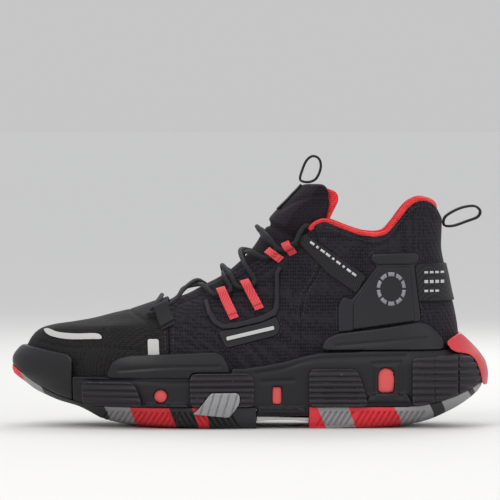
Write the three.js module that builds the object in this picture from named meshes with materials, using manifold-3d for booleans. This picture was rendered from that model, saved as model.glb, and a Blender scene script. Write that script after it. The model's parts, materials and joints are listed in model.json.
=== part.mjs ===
// Basketball high top, left shoe.
// Millimetres, +Z up. The toe points to -X, the heel to +X, and the outer (lateral) side of the foot
// is -Y. The origin is on the ground under the middle of the shoe.
//
// Two families of horizontal slices describe the shoe: the foot form (everything sewn) and the sole
// form (everything moulded). A piece is a layer of one of them, between two distances from its
// surface, cut to the outline that the piece has when the shoe is seen from the side.
import * as THREE from 'three';
import { mergeVertices } from 'three/addons/utils/BufferGeometryUtils.js';
import Module from 'manifold-3d';

const wasm = await Module();
wasm.setup();

// ---- Driving dimensions -------------------------------------------------------------------------
const SHOE_LENGTH = 310;
const SOLE_WIDTH = 107;
const TONGUE_HEIGHT = 157;
const GAP = 0.3;
const UPPER_WALL = 3.2;
const LINING_WALL = 5.2;
const TONGUE_WALL = 7;
const TONGUE_HALF_WIDTH = 21.5;
const TONGUE_SHIFT = -1.5;
const TONGUE_LINING_WALL = 2;
const STIFFENER_WALL = 1.2;
const BOARD_WALL = 1.6;
const INSOLE_WALL = 4.5;
const CARRIER_WALL = 9;
const OUTSOLE_WRAP = 5;
const WINDOW_RECESS = 2.2;
const POD_PROUD = 3.5;
const RIB_PITCH = 5;
const RIB_DEPTH = 1.3;
const OVERLAY_WALL = 1.5;
const COUNTER_WALL = 2.6;
const FRAME_WALL = 2.2;
const LACE_DIAMETER = 2.8;
const LOOP_WALL = 0.9;
const HEEL_LOOP_WIDTH = 13;
const TONGUE_LOOP_WIDTH = 15;
const PULL_LOOP_WALL = 2;

// The outlines below are drawn for a shoe of these sizes and stretch with the driving dimensions.
const DRAWN_LENGTH = 310;
const DRAWN_WIDTH = 107;
const DRAWN_TONGUE_HEIGHT = 157;
const stretchX = SHOE_LENGTH / DRAWN_LENGTH;
const stretchY = SOLE_WIDTH / DRAWN_WIDTH;
const stretchZ = TONGUE_HEIGHT / DRAWN_TONGUE_HEIGHT;

const LATERAL = -1;
const MEDIAL = 1;
const SIDES = [['lateral', LATERAL], ['medial', MEDIAL]];

// ---- Curves through points ----------------------------------------------------------------------
// A smooth curve through [position, value] pairs that never overshoots them.
function curveThrough(pairs) {
  const slopes = pairs.map((_, i) => {
    if (i === 0 || i === pairs.length - 1) return 0;
    const before = (pairs[i][1] - pairs[i - 1][1]) / (pairs[i][0] - pairs[i - 1][0]);
    const after = (pairs[i + 1][1] - pairs[i][1]) / (pairs[i + 1][0] - pairs[i][0]);
    return before * after > 0 ? 2 * before * after / (before + after) : 0;
  });
  return (position) => {
    if (position <= pairs[0][0]) return pairs[0][1];
    if (position >= pairs[pairs.length - 1][0]) return pairs[pairs.length - 1][1];
    const i = pairs.findIndex((pair) => pair[0] > position) - 1;
    const span = pairs[i + 1][0] - pairs[i][0];
    const t = (position - pairs[i][0]) / span;
    const t2 = t * t;
    const t3 = t2 * t;
    return pairs[i][1] * (2 * t3 - 3 * t2 + 1) + pairs[i + 1][1] * (3 * t2 - 2 * t3)
      + span * (slopes[i] * (t3 - 2 * t2 + t) + slopes[i + 1] * (t3 - t2));
  };
}

const clamp01 = (value) => Math.min(1, Math.max(0, value));
const ease = (value) => clamp01(value) ** 2 * (3 - 2 * clamp01(value));

// ---- The foot form ------------------------------------------------------------------------------
// Where the form's front and back edges stand at each height.
const formFront = curveThrough([[10, -147], [44, -147], [50, -146], [55, -144], [59.5, -141],
  [63.5, -136], [65.8, -128], [67.8, -115], [70, -102], [73, -90], [76, -78], [80, -66], [84, -54],
  [88, -45], [94, -34], [100, -23], [106, -14], [112, -7], [119, -1], [127, 4], [134, 9],
  [142, 16], [150, 24], [162, 33]]);
const formBack = curveThrough([[10, 136], [50, 136], [64, 135], [78, 132.5], [88, 130], [98, 128],
  [107, 126], [118, 124.5], [130, 124.5], [140, 125], [150, 124], [162, 121]]);
const formFrontRound = curveThrough([[10, 78], [60, 78], [70, 70], [84, 62], [100, 50], [120, 38],
  [140, 34], [162, 32]]);
const formBackRound = curveThrough([[10, 46], [60, 46], [100, 42], [162, 38]]);
const FORM_LEVELS = [14, 42, 53, 60, 65, 69, 75, 83, 91, 100, 110, 122, 135, 148, 162];
const FORM_STEPS = 12;
const FRONT_POWER = 2.05;
const BACK_POWER = 2.3;

// ---- The sole form ------------------------------------------------------------------------------
const soleFront = curveThrough([[0, -65], [1.2, -81], [4.9, -97], [8.7, -104], [12.6, -112],
  [16.5, -125], [20.4, -134], [24, -141], [28, -146], [32, -151.5], [36, -155], [44, -155],
  [50, -151.5], [54, -147], [62, -140], [72, -130]]);
const soleBack = curveThrough([[0, 92], [1, 103], [4.9, 118.5], [8.7, 127], [12.6, 134.5],
  [16.5, 140.5], [20, 145], [24, 149], [28, 151], [34, 151.5], [40, 150.5], [46, 148],
  [52, 143], [60, 138.5], [72, 134]]);
const soleFlare = curveThrough([[0, -7], [4, -4], [10, -1.5], [18, 0], [40, 0], [50, -2.5],
  [62, -4.5], [72, -5.5]]);
const SOLE_LEVELS = [0, 1.5, 5, 11, 18, 28, 36, 44, 50, 58, 72];
const SOLE_STEPS = 12;
const SOLE_FRONT_ROUND = 80;
const SOLE_BACK_ROUND = 50;

// Half widths of the sole on each side, from toe to heel.
const soleHalf = {
  [LATERAL]: curveThrough([[-155, 40], [-120, 46], [-90, 51], [-60, 54], [-30, 52], [0, 47],
    [30, 43], [60, 42], [90, 43], [120, 43], [155, 41]]),
  [MEDIAL]: curveThrough([[-155, 40], [-120, 45], [-90, 51], [-60, 53], [-30, 47], [0, 41],
    [30, 39], [60, 40.5], [90, 42.5], [120, 42.5], [155, 41]]),
};
const UPPER_INSET = 6.5;
const formTaper = curveThrough([[-150, 0.2], [-60, 0.25], [0, 0.22], [40, 0.14], [80, 0.1],
  [130, 0.05]]);
const TAPER_START = 35;
const TAPER_RISE = 62;
const TOE_SWING = 6;
const centreLine = (x) => TOE_SWING * ease((-60 - x) / 90);

const formHalf = (x, z, side) => (soleHalf[side](x) - UPPER_INSET)
  * (1 - formTaper(x) * ease((z - TAPER_START) / TAPER_RISE));

// How full the slice is at a distance from one of its rounded ends.
function endFullness(distance, round, power) {
  const short = clamp01(1 - distance / round);
  return (1 - short ** power) ** (1 / power);
}

// The slice of the form that leaves the front line at this height, moved outwards by offset.
function formSlice(level, offset) {
  const step = 0.5;
  const slope = (formFront(level + step) - formFront(level - step)) / (2 * step);
  const length = Math.hypot(slope, 1);
  const height = level * stretchZ + offset * slope / length;
  const z = height / stretchZ;
  return {
    height,
    front: formFront(level) * stretchX - offset / length,
    back: formBack(z) * stretchX + offset,
    half: (x, side) => formHalf(x / stretchX, z, side) * stretchY + offset,
    frontRound: formFrontRound(level) * stretchX,
    backRound: formBackRound(level) * stretchX,
  };
}

// The sole form only moves outwards on the level, so its height stays.
function soleSlice(level, offset) {
  return {
    height: level * stretchZ,
    front: soleFront(level) * stretchX - offset,
    back: soleBack(level) * stretchX + offset,
    half: (x, side) => (soleHalf[side](x / stretchX) + soleFlare(level)) * stretchY + offset,
    frontRound: SOLE_FRONT_ROUND * stretchX,
    backRound: SOLE_BACK_ROUND * stretchX,
  };
}

// ---- Solids -------------------------------------------------------------------------------------
function toSolid(geometry) {
  const bare = geometry.clone();
  bare.deleteAttribute('normal');
  bare.deleteAttribute('uv');
  const merged = mergeVertices(bare, 1e-4);
  const mesh = new wasm.Mesh({
    numProp: 3,
    vertProperties: new Float32Array(merged.attributes.position.array),
    triVerts: new Uint32Array(merged.index.array),
  });
  return new wasm.Manifold(mesh);
}

function sliceOutline(slice, steps) {
  const near = [];
  const far = [];
  for (let i = 0; i <= steps; i += 1) {
    const x = slice.front + (slice.back - slice.front) * (1 - Math.cos(Math.PI * i / steps)) / 2;
    const fullness = endFullness(x - slice.front, slice.frontRound, FRONT_POWER)
      * endFullness(slice.back - x, slice.backRound, BACK_POWER);
    const middle = centreLine(x / stretchX) * stretchY;
    near.push([x, middle - slice.half(x, LATERAL) * fullness, slice.height]);
    far.push([x, middle + slice.half(x, MEDIAL) * fullness, slice.height]);
  }
  return [...near, ...far.slice(1, -1).reverse()];
}

// One closed body through a stack of slices.
function loftSlices(slices, steps) {
  const outlines = slices.map((slice) => sliceOutline(slice, steps));
  const count = outlines[0].length;
  const faces = [];
  for (let k = 0; k + 1 < outlines.length; k += 1) {
    for (let i = 0; i < count; i += 1) {
      const here = k * count + i;
      const next = k * count + (i + 1) % count;
      faces.push(here, next, next + count, here, next + count, here + count);
    }
  }
  const top = (outlines.length - 1) * count;
  for (let i = 0; i < steps; i += 1) {
    const near = [i, i + 1];
    const far = [(count - i) % count, (count - i - 1) % count];
    const corners = [near[0], far[0], far[1], near[1]];
    const split = (a, b, c) => {
      if (a === b || b === c || a === c) return;
      faces.push(a, b, c);
      faces.push(top + a, top + c, top + b);
    };
    split(corners[0], corners[1], corners[2]);
    split(corners[0], corners[2], corners[3]);
  }
  const geometry = new THREE.BufferGeometry();
  geometry.setAttribute('position', new THREE.Float32BufferAttribute(outlines.flat(2), 3));
  geometry.setIndex(faces);
  return toSolid(geometry);
}

const form = (offset) => loftSlices(FORM_LEVELS.map((z) => formSlice(z, offset)), FORM_STEPS);
const sole = (offset) => loftSlices(SOLE_LEVELS.map((z) => soleSlice(z, offset)), SOLE_STEPS);

// A layer between two distances from the form or the sole.
const formLayer = (inner, outer) => form(outer).subtract(form(inner));
const soleLayer = (inner, outer) => sole(outer).subtract(sole(inner));

// The sole with horizontal ribs standing out to a distance.
function ribbedSole(low, high, outer) {
  const count = Math.round((high - low) / RIB_PITCH);
  const pitch = (high - low) / count;
  const slices = [soleSlice(low - pitch, outer)];
  for (let k = 0; k < count; k += 1) {
    const start = low + k * pitch;
    slices.push(soleSlice(start, outer - RIB_DEPTH));
    slices.push(soleSlice(start + 0.16 * pitch, outer - RIB_DEPTH));
    slices.push(soleSlice(start + 0.34 * pitch, outer));
    slices.push(soleSlice(start + 0.92 * pitch, outer));
  }
  slices.push(soleSlice(high + pitch, outer));
  return loftSlices(slices, SOLE_STEPS);
}

// ---- Side outlines ------------------------------------------------------------------------------
const BLOCK_HALF_WIDTH = 140;
const drawn = (points) => points.map(([x, z]) => new THREE.Vector2(x * stretchX, z * stretchZ));
const smooth = (points, steps) => new THREE.SplineCurve(drawn(points)).getPoints(steps);

// A straight-sided outline with its corners rounded.
function rounded(points, radius) {
  const corners = drawn(points);
  const path = new THREE.Path();
  corners.forEach((corner, i) => {
    const before = corners[(i + corners.length - 1) % corners.length];
    const after = corners[(i + 1) % corners.length];
    const back = Math.min(radius, corner.distanceTo(before) / 2.2);
    const on = Math.min(radius, corner.distanceTo(after) / 2.2);
    const start = corner.clone().lerp(before, back / corner.distanceTo(before));
    const end = corner.clone().lerp(after, on / corner.distanceTo(after));
    if (i === 0) path.moveTo(start.x, start.y);
    else path.lineTo(start.x, start.y);
    path.quadraticCurveTo(corner.x, corner.y, end.x, end.y);
  });
  return path.getPoints(2);
}

// The outline moved outwards by a clearance.
function grown(outline, clearance) {
  const turn = THREE.ShapeUtils.area(outline) > 0 ? 1 : -1;
  return outline.map((point, i) => {
    const before = outline[(i + outline.length - 1) % outline.length];
    const after = outline[(i + 1) % outline.length];
    const direction = after.clone().sub(before).normalize();
    return new THREE.Vector2(point.x + turn * direction.y * clearance,
      point.y - turn * direction.x * clearance);
  });
}

// A block with this side outline, across the whole shoe or on one side of it.
function block(outline, side = 0) {
  const inner = side === 0 ? -BLOCK_HALF_WIDTH : GAP / 2;
  const shape = new THREE.Shape(outline);
  const depth = BLOCK_HALF_WIDTH - inner;
  const geometry = new THREE.ExtrudeGeometry(shape, { depth, bevelEnabled: false });
  geometry.rotateX(Math.PI / 2);
  geometry.translate(0, side === LATERAL ? -inner : BLOCK_HALF_WIDTH, 0);
  return toSolid(geometry);
}

const slab = (x0, z0, x1, z1) => drawn([[x0, z0], [x1, z0], [x1, z1], [x0, z1]]);

// ---- The surface of the form --------------------------------------------------------------------
// The point of the form seen at (x, z) from the side, lifted off along the surface's normal.
function formWidthAt(x, z, side) {
  const slice = formSlice(z, 0);
  const realX = x * stretchX;
  return slice.half(realX, side)
    * endFullness(realX - slice.front, slice.frontRound, FRONT_POWER)
    * endFullness(slice.back - realX, slice.backRound, BACK_POWER);
}

function onForm(x, z, side, lift) {
  const step = 0.5;
  const width = formWidthAt(x, z, side);
  const alongX = (formWidthAt(x + step, z, side) - formWidthAt(x - step, z, side)) / (2 * step);
  const alongZ = (formWidthAt(x, z + step, side) - formWidthAt(x, z - step, side)) / (2 * step);
  const normal = new THREE.Vector3(-alongX, side, -alongZ).normalize();
  const foot = new THREE.Vector3(x * stretchX, centreLine(x) * stretchY + side * width,
    z * stretchZ);
  return foot.addScaledVector(normal, lift);
}

// ---- Assembly -----------------------------------------------------------------------------------
const group = new THREE.Group();

const MATERIALS = {
  knit: { color: 0x262425, roughness: 0.9, metalness: 0 },
  quarterKnit: { color: 0x2a282d, roughness: 0.9, metalness: 0 },
  padding: { color: 0x231c23, roughness: 0.95, metalness: 0 },
  lining: { color: 0xc8323a, roughness: 0.9, metalness: 0 },
  foam: { color: 0x3a353b, roughness: 0.7, metalness: 0 },
  redFoam: { color: 0xd96464, roughness: 0.6, metalness: 0 },
  darkPlastic: { color: 0x2e2c32, roughness: 0.45, metalness: 0 },
  redPlastic: { color: 0xda5156, roughness: 0.35, metalness: 0 },
  greyRubber: { color: 0x8c8c8c, roughness: 0.8, metalness: 0 },
  redRubber: { color: 0xd62e38, roughness: 0.8, metalness: 0 },
  darkRubber: { color: 0x262426, roughness: 0.8, metalness: 0 },
  webbing: { color: 0x1f1d20, roughness: 0.9, metalness: 0 },
  redWebbing: { color: 0xe14a50, roughness: 0.7, metalness: 0 },
  reflective: { color: 0xc8c8c6, roughness: 0.4, metalness: 0.1 },
  board: { color: 0xd8d2c4, roughness: 0.9, metalness: 0 },
};

// Adds a piece as its own mesh. Slivers that a cut leaves beside the piece are dropped.
function add(name, solid, material) {
  const bodies = solid.decompose().sort((a, b) => b.volume() - a.volume());
  const mesh = bodies[0].getMesh();
  const geometry = new THREE.BufferGeometry();
  geometry.setAttribute('position', new THREE.BufferAttribute(mesh.vertProperties, 3));
  geometry.setIndex(new THREE.BufferAttribute(mesh.triVerts, 1));
  geometry.computeVertexNormals();
  const piece = new THREE.Mesh(geometry, new THREE.MeshStandardMaterial(MATERIALS[material]));
  piece.name = name;
  group.add(piece);
}

// ---- Heights inside the shoe --------------------------------------------------------------------
// The underside of the foot, from toe to heel.
const FLOOR = [[-150, 37], [-138, 31], [-120, 26], [-95, 22.5], [-60, 20], [-20, 20], [20, 23],
  [60, 26.5], [100, 29], [140, 30.5]];
const HIGH = 175;
const floorLine = (rise) => FLOOR.map(([x, z]) => [x, z + rise / stretchZ]);
const aboveFloor = (rise) => drawn([...floorLine(rise), [165, 31], [165, HIGH], [-165, HIGH],
  [-165, 37]]);
const betweenFloors = (low, high) => drawn([...floorLine(low), ...floorLine(high).reverse()]);

const upperHollow = form(GAP).intersect(block(aboveFloor(-GAP)));

// ---- Outsole ------------------------------------------------------------------------------------
const WAIST_FRONT = 4;
const WAIST_BACK = 38;
const RUBBER_TOP = 14;
const RUBBER_FLOOR = 5;
const forefootRubberTop = [[-160, 44.5], [-153, 38.5], [-146, 33], [-140, 28.6], [-133, 24.4],
  [-124, 20.3], [-113, 17], [-106, 15], [-100, RUBBER_TOP]];
const heelRubberTop = [[100, RUBBER_TOP], [112, 15], [122, 17], [134, 21], [143, 25],
  [150, 29], [160, 36]];

function outsole() {
  const front = block(drawn([...forefootRubberTop, [WAIST_FRONT, RUBBER_TOP], [WAIST_FRONT, -5],
    [-160, -5]]));
  const frontPocket = sole(-OUTSOLE_WRAP).intersect(block(drawn([[-103, 13], [-96, 9.5], [-86, 6.5],
    [-76, RUBBER_FLOOR], [WAIST_FRONT - OUTSOLE_WRAP, RUBBER_FLOOR],
    [WAIST_FRONT - OUTSOLE_WRAP, 30], [-103, 30]])));
  add('outsole_forefoot', sole(0).intersect(front).subtract(frontPocket), 'redRubber');

  const back = block(drawn([[WAIST_BACK, -5], [160, -5], ...heelRubberTop.slice().reverse(),
    [WAIST_BACK, RUBBER_TOP]]));
  const backPocket = sole(-OUTSOLE_WRAP).intersect(block(drawn([
    [WAIST_BACK + OUTSOLE_WRAP, RUBBER_FLOOR], [98, RUBBER_FLOOR], [112, 8], [124, 12],
    [132, 16], [132, 30], [WAIST_BACK + OUTSOLE_WRAP, 30]])));
  add('outsole_heel', sole(0).intersect(back).subtract(backPocket), 'redRubber');

  const plate = block(drawn([[WAIST_FRONT + GAP, 1.5], [12, 3.5], [30, 3.5],
    [WAIST_BACK - GAP, 1.5], [WAIST_BACK - GAP, 8], [WAIST_FRONT + GAP, 8]]));
  add('midfoot_shank', sole(-2).intersect(plate), 'reflective');
}

// ---- Midsole ------------------------------------------------------------------------------------
const BUMPER_BACK = -115;
const WING_BACK = -13;
const WING_BASE = 33.2;
const HEEL_DECK = 50.5;
const carrierTop = [[WING_BACK + GAP, WING_BASE], [-11.5, 39], [-3, 39], [8, 40.5], [23, 43.5],
  [36, 47], [46, 48.8], [80, 50], [120, HEEL_DECK], [160, HEEL_DECK]];
const clipOutline = rounded([[126, 55.5], [136, 61.5], [141, 57], [148, 50], [153, 43], [158, 36],
  [158, 27], [150.5, 27], [149, 36], [146, 43.5], [142, 47.5], [131, 49.5]], 2);
const gripOutline = rounded([[-37, 10], [-34, 12], [-27, 21], [-25, 23.5], [-8, 23.5], [-6.5, 21],
  [-7, 16], [-13.5, 7.5]], 2);
const windows = [
  rounded([[82, 23], [93, 23], [93, 36], [90.5, 39.5], [84.5, 39.5], [82, 36]], 2),
  rounded([[14, 15.5], [20.5, 15.5], [20.5, 27.5], [14, 27.5]], 1.5),
  rounded([[-62, 21.5], [-60.5, 25], [-57.5, 26.2], [-54.5, 25], [-53, 21.5], [-54.5, 18],
    [-57.5, 16.8], [-60.5, 18]], 1.2),
];

function midsole() {
  const lift = GAP / stretchZ;
  const outer = block(drawn([[BUMPER_BACK + GAP, 18], [-113, 17 + lift], [-106, 15 + lift],
    [-100, RUBBER_TOP + lift], [WAIST_FRONT, RUBBER_TOP + lift], [WAIST_FRONT + GAP, 8 + lift],
    [WAIST_BACK - GAP, 8 + lift], [WAIST_BACK, RUBBER_TOP + lift],
    ...heelRubberTop.map(([x, z]) => [x, z + lift]), ...carrierTop.slice().reverse(),
    [BUMPER_BACK + GAP, WING_BASE]]));
  const inner = block(drawn([[-95, 20], [-95, 9.8], [-86, 6.8 + lift], [-76, RUBBER_FLOOR + lift],
    [WAIST_FRONT - OUTSOLE_WRAP - GAP, RUBBER_FLOOR + lift],
    [WAIST_FRONT - OUTSOLE_WRAP - GAP, 20]]));
  const innerHeel = block(drawn([[WAIST_BACK + OUTSOLE_WRAP + GAP, RUBBER_FLOOR + lift],
    [98, RUBBER_FLOOR + lift], [112, 8 + lift], [124, 12 + lift], [131.5, 16 + lift], [131.5, 20],
    [WAIST_BACK + OUTSOLE_WRAP + GAP, 20]]));
  const cup = sole(-OUTSOLE_WRAP - GAP);
  const hollow = sole(-CARRIER_WALL).intersect(block(drawn([[-103, 0], [128, 0], [128, 60],
    [-103, 60]])));
  let carrier = sole(0).intersect(outer).add(cup.intersect(inner)).add(cup.intersect(innerHeel))
    .subtract(hollow).subtract(upperHollow);
  for (const window of windows) carrier = carrier.subtract(block(window));
  add('midsole_carrier', carrier, 'foam');

  const coreOutline = drawn([[-102.5, 14.5], [-94, 10.5], [-86, 7.2], [-76, RUBBER_FLOOR + lift],
    [WAIST_FRONT - OUTSOLE_WRAP - GAP, RUBBER_FLOOR + lift],
    [WAIST_FRONT - OUTSOLE_WRAP, RUBBER_TOP + lift],
    [WAIST_BACK + OUTSOLE_WRAP, RUBBER_TOP + lift],
    [WAIST_BACK + OUTSOLE_WRAP + GAP, RUBBER_FLOOR + lift], [98, RUBBER_FLOOR + lift],
    [112, 8 + lift], [124, 12 + lift], [127.5, 15], [127.5, 60], [-102.5, 60]]);
  const filling = sole(-CARRIER_WALL - GAP).intersect(block(coreOutline)).subtract(upperHollow)
    .intersect(block(drawn([[-165, 0], [165, 0], ...floorLine(-GAP).reverse()])));
  const bulges = sole(-WINDOW_RECESS).subtract(upperHollow);
  const core = windows.reduce((body, window) => body.add(
    bulges.intersect(block(grown(window, -GAP)))), filling);
  add('midsole_core', core, 'redFoam');

  const bumper = block(drawn([...forefootRubberTop.slice(0, 7).map(([x, z]) => [x, z + lift]),
    [BUMPER_BACK, 18], [BUMPER_BACK, 45], [-117.5, 47.5], [-145.5, 52.5], [-160, 54]]));
  add('toe_bumper', sole(0).intersect(bumper).subtract(upperHollow), 'darkPlastic');

  const clipBase = sole(GAP).intersect(block(slab(90, 0, 165, HEEL_DECK + lift)));
  const clip = sole(POD_PROUD).intersect(block(clipOutline)).subtract(clipBase)
    .subtract(form(GAP));
  add('heel_clip', clip, 'redPlastic');
}

const saddleOutline = rounded([[46.5, 50.8], [47, 55], [50, 58.5], [56, 61], [84.5, 64.5],
  [109, 68.5], [115.5, 67], [120, 62], [124.5, 57.5], [125.5, 51]], 2);
const wingOutline = rounded([[-92, 33.5], [-88.5, 42.5], [-84, 45.5], [-77.5, 47], [-22.5, 49],
  [-18, 47.5], [-15, 42], [WING_BACK, 33.5]], 2);

// Ribbed pods stand out of the carrier: two rows of blocks on each side and one round the heel.
const podOutlines = {
  forefoot_pod: [[-108.5, 30.5], [-75, 30.5], [-71.5, 23], [-69, 14.4], [-108.5, 14.4]],
  midfoot_pod: [[-38.5, 36], [0.5, 36], [2.5, 30.5], [2.5, 14.4], [-38.5, 14.4]],
  heel_front_pod: [[38, 38.5], [69, 38.5], [73, 27.5], [76.5, 14.4], [38, 14.4]],
};
const heelPodOutline = [[104.5, 45.5], [133, 48], [160, 49.5], [160, 36.5], [150, 29.4],
  [143, 25.4], [134, 21.4], [122, 17.4], [112, 15.4], [104.5, 14.8]];

function pods() {
  const grip = block(grown(gripOutline, GAP));
  for (const [name, points] of Object.entries(podOutlines)) {
    const heights = points.map((point) => point[1]);
    const ribs = ribbedSole(Math.min(...heights), Math.max(...heights), POD_PROUD)
      .subtract(sole(GAP));
    for (const [side, sign] of SIDES) {
      const pod = ribs.intersect(block(rounded(points, 3), sign));
      add(`${name}_${side}`, name === 'midfoot_pod' ? pod.subtract(grip) : pod, 'foam');
    }
  }
  const heelRibs = ribbedSole(14.8, 49.5, POD_PROUD).subtract(sole(GAP));
  const grips = soleLayer(GAP, POD_PROUD + 0.8);
  const wings = sole(1.2).subtract(form(GAP));
  const podGap = block(grown(rounded(podOutlines.midfoot_pod, 3), GAP));
  const saddles = sole(1).subtract(form(GAP));
  for (const [side, sign] of SIDES) {
    add(`heel_rear_pod_${side}`, heelRibs.intersect(block(rounded(heelPodOutline, 3), sign))
      .subtract(block(grown(clipOutline, GAP))), 'foam');
    add(`grip_pad_${side}`, grips.intersect(block(gripOutline, sign)), 'greyRubber');
    add(`forefoot_wing_${side}`, wings.intersect(block(wingOutline, sign)).subtract(podGap),
      'darkPlastic');
    add(`heel_saddle_${side}`, saddles.intersect(block(saddleOutline, sign)), 'darkPlastic');
  }
}

// ---- Inside pieces ------------------------------------------------------------------------------
function insides() {
  const inside = UPPER_WALL + GAP;
  add('strobel_board', form(-inside).intersect(block(betweenFloors(0, BOARD_WALL))), 'board');
  const bed = BOARD_WALL + GAP;
  add('insole', form(-inside).intersect(block(betweenFloors(bed, bed + INSOLE_WALL))), 'padding');
  const stiffener = formLayer(-inside - STIFFENER_WALL, -inside)
    .intersect(block(aboveFloor(bed + INSOLE_WALL + GAP)));
  add('toe_puff', stiffener.intersect(block(slab(-160, 0, -112, 90))), 'board');
  add('heel_counter', stiffener.intersect(block(slab(72, 0, 160, 75))), 'board');
}

// ---- Upper --------------------------------------------------------------------------------------
const throatEdge = [[-55, 92], [-52, 85], [-49, 83.2], [-44, 84.5], [-29, 91], [0, 105],
  [14, 112.5], [27, 120], [33, 124]];
const collarEdge = [[33, 124], [37, 126.5], [42, 131], [49, 133], [58.5, 129.5], [66.5, 126.5],
  [74, 124.5], [82, 124], [88, 126], [93.5, 132], [101.5, 142], [106, 145.5], [111, 147],
  [116, 146], [120.5, 142.5], [124.5, 135], [126, 129], [134, 129]];
const COLLAR_FRONT_SEAM = 41;
const sideSeam = [[33, 10], [32.5, 73], [35, 86], [43.5, 100.5], [45, 112], [COLLAR_FRONT_SEAM, 130.1]];

function upper() {
  const shell = formLayer(-UPPER_WALL, 0).intersect(block(aboveFloor(0)));
  add('vamp', shell.intersect(block(drawn([[-165, 0], [-52, 0], [-52.3, 63], [-54.5, 120],
    [-165, 120]]))), 'knit');
  const middle = drawn([[-51.7, 0], [-52, 63], [-52.4, 81], ...throatEdge.slice(3),
    ...collarEdge.slice(1, 2), [COLLAR_FRONT_SEAM - GAP, 130], ...sideSeam.slice(0, -1).reverse()
      .map(([x, z]) => [x - GAP, z])]);
  const heel = drawn([...sideSeam.slice(0, -1), ...collarEdge.slice(2), [165, 129], [165, 0]]);
  for (const [side, sign] of SIDES) {
    add(`midfoot_quarter_${side}`, shell.intersect(block(middle, sign)), 'quarterKnit');
    add(`heel_quarter_${side}`, shell.intersect(block(heel, sign)), 'quarterKnit');
  }
  const inside = UPPER_WALL + GAP;
  const liningTop = collarEdge.slice(4, -2).map(([x, z]) => [x, z + 2]);
  const lining = drawn([[58, 78], [58, 131], ...liningTop, [128, 137], [165, 132], [165, 78]]);
  add('collar_lining', formLayer(-inside - LINING_WALL, -inside).intersect(block(lining)),
    'lining');
}

// ---- Tongue -------------------------------------------------------------------------------------
const GUSSET_OFFSET = 4;
const PAD_OFFSET = 2.2;
const tongueHinge = [8, 136];
const foldSlope = -0.5;
const tongueBack = [[-58, 74], [-45, 76], [-10, 86], [20, 98], [38, 112]];
const tongueTop = [[52, 136], [56.5, 147], [55.5, 153], [50, 157], [34, 157], [24, 152]];
const foldAt = (x) => tongueHinge[1] + foldSlope * (x - tongueHinge[0]);

function tongue() {
  const width = new THREE.BoxGeometry(2 * SHOE_LENGTH, 2 * TONGUE_HALF_WIDTH * stretchY,
    4 * TONGUE_HEIGHT);
  width.translate(0, TONGUE_SHIFT * stretchY, 0);
  const strip = toSolid(width);
  const body = (offset) => formLayer(-offset - TONGUE_WALL, -offset).intersect(strip);
  const lower = drawn([...tongueBack, [42, foldAt(42) - GAP], [-30, foldAt(-30) - GAP],
    [-58, 100]]);
  const upperPart = drawn([[46, foldAt(46)], ...tongueTop, [-5, 150], [-5, foldAt(-5)]]);
  add('tongue_gusset', body(GUSSET_OFFSET).intersect(block(lower)), 'knit');
  add('tongue_pad', body(PAD_OFFSET).intersect(block(upperPart)), 'padding');
  const liningFace = PAD_OFFSET + TONGUE_WALL + GAP;
  const lining = formLayer(-liningFace - TONGUE_LINING_WALL, -liningFace).intersect(strip);
  add('tongue_lining', lining.intersect(block(upperPart)), 'lining');
}

// ---- Overlays -----------------------------------------------------------------------------------
const laceFrameOutline = drawn([[-30, 82.5], [-27.5, 74], [-23.5, 67.5], [-18, 64.5], [-9.5, 65],
  [8, 69], [16.5, 73], [18.5, 77.5], [18.5, 99.5], [20.5, 103.5], [18.3, 104.5], [16, 100.5],
  [16, 82.5], [14.5, 76.5], [8, 73], [-6, 69], [-16.5, 67.5], [-21, 70], [-25, 76], [-27.5, 83.5]]);
const patchOutline = rounded([[-20.5, 62.6], [-17.5, 63.2], [-9.5, 64.3], [8, 68.3], [17, 72.2], [19.5, 64.5],
  [17, 60], [-15.5, 52]], 2);
const barOutline = rounded([[-15, 56.8], [15.7, 63.8], [15.2, 66.2], [-15.5, 59.2]], 0.8);
const counterOutline = rounded([[78, 112.5], [108.5, 113.5], [109, 107.5], [106, 105], [110, 69.3],
  [84.5, 65.5], [57, 62], [57, 79.5], [60.5, 85], [65.5, 82.5], [82, 104.5], [77.5, 107.5]], 1.5);
const strapOutline = drawn([[35, 125.5], [75, 98], [68.5, 87], [50, 100], [31, 120]]);
const heelStrapOutline = drawn([[105.5, 106], [150, 106], [150, 82], [108, 82]]);
const stripeOutline = smooth([[-134, 62.4], [-129.6, 59], [-118.2, 57.1], [-103, 57.5],
  [-95.9, 57.9], [-98.7, 61.2], [-112.5, 60.9], [-124, 61.5], [-129.6, 63.2], [-132.4, 63.6],
  [-134, 62.4]], 20).slice(0, -1);
const tabOutline = rounded([[-66, 58], [-58.8, 58], [-58.2, 44.5], [-65.5, 44.5]], 1.5);

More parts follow.
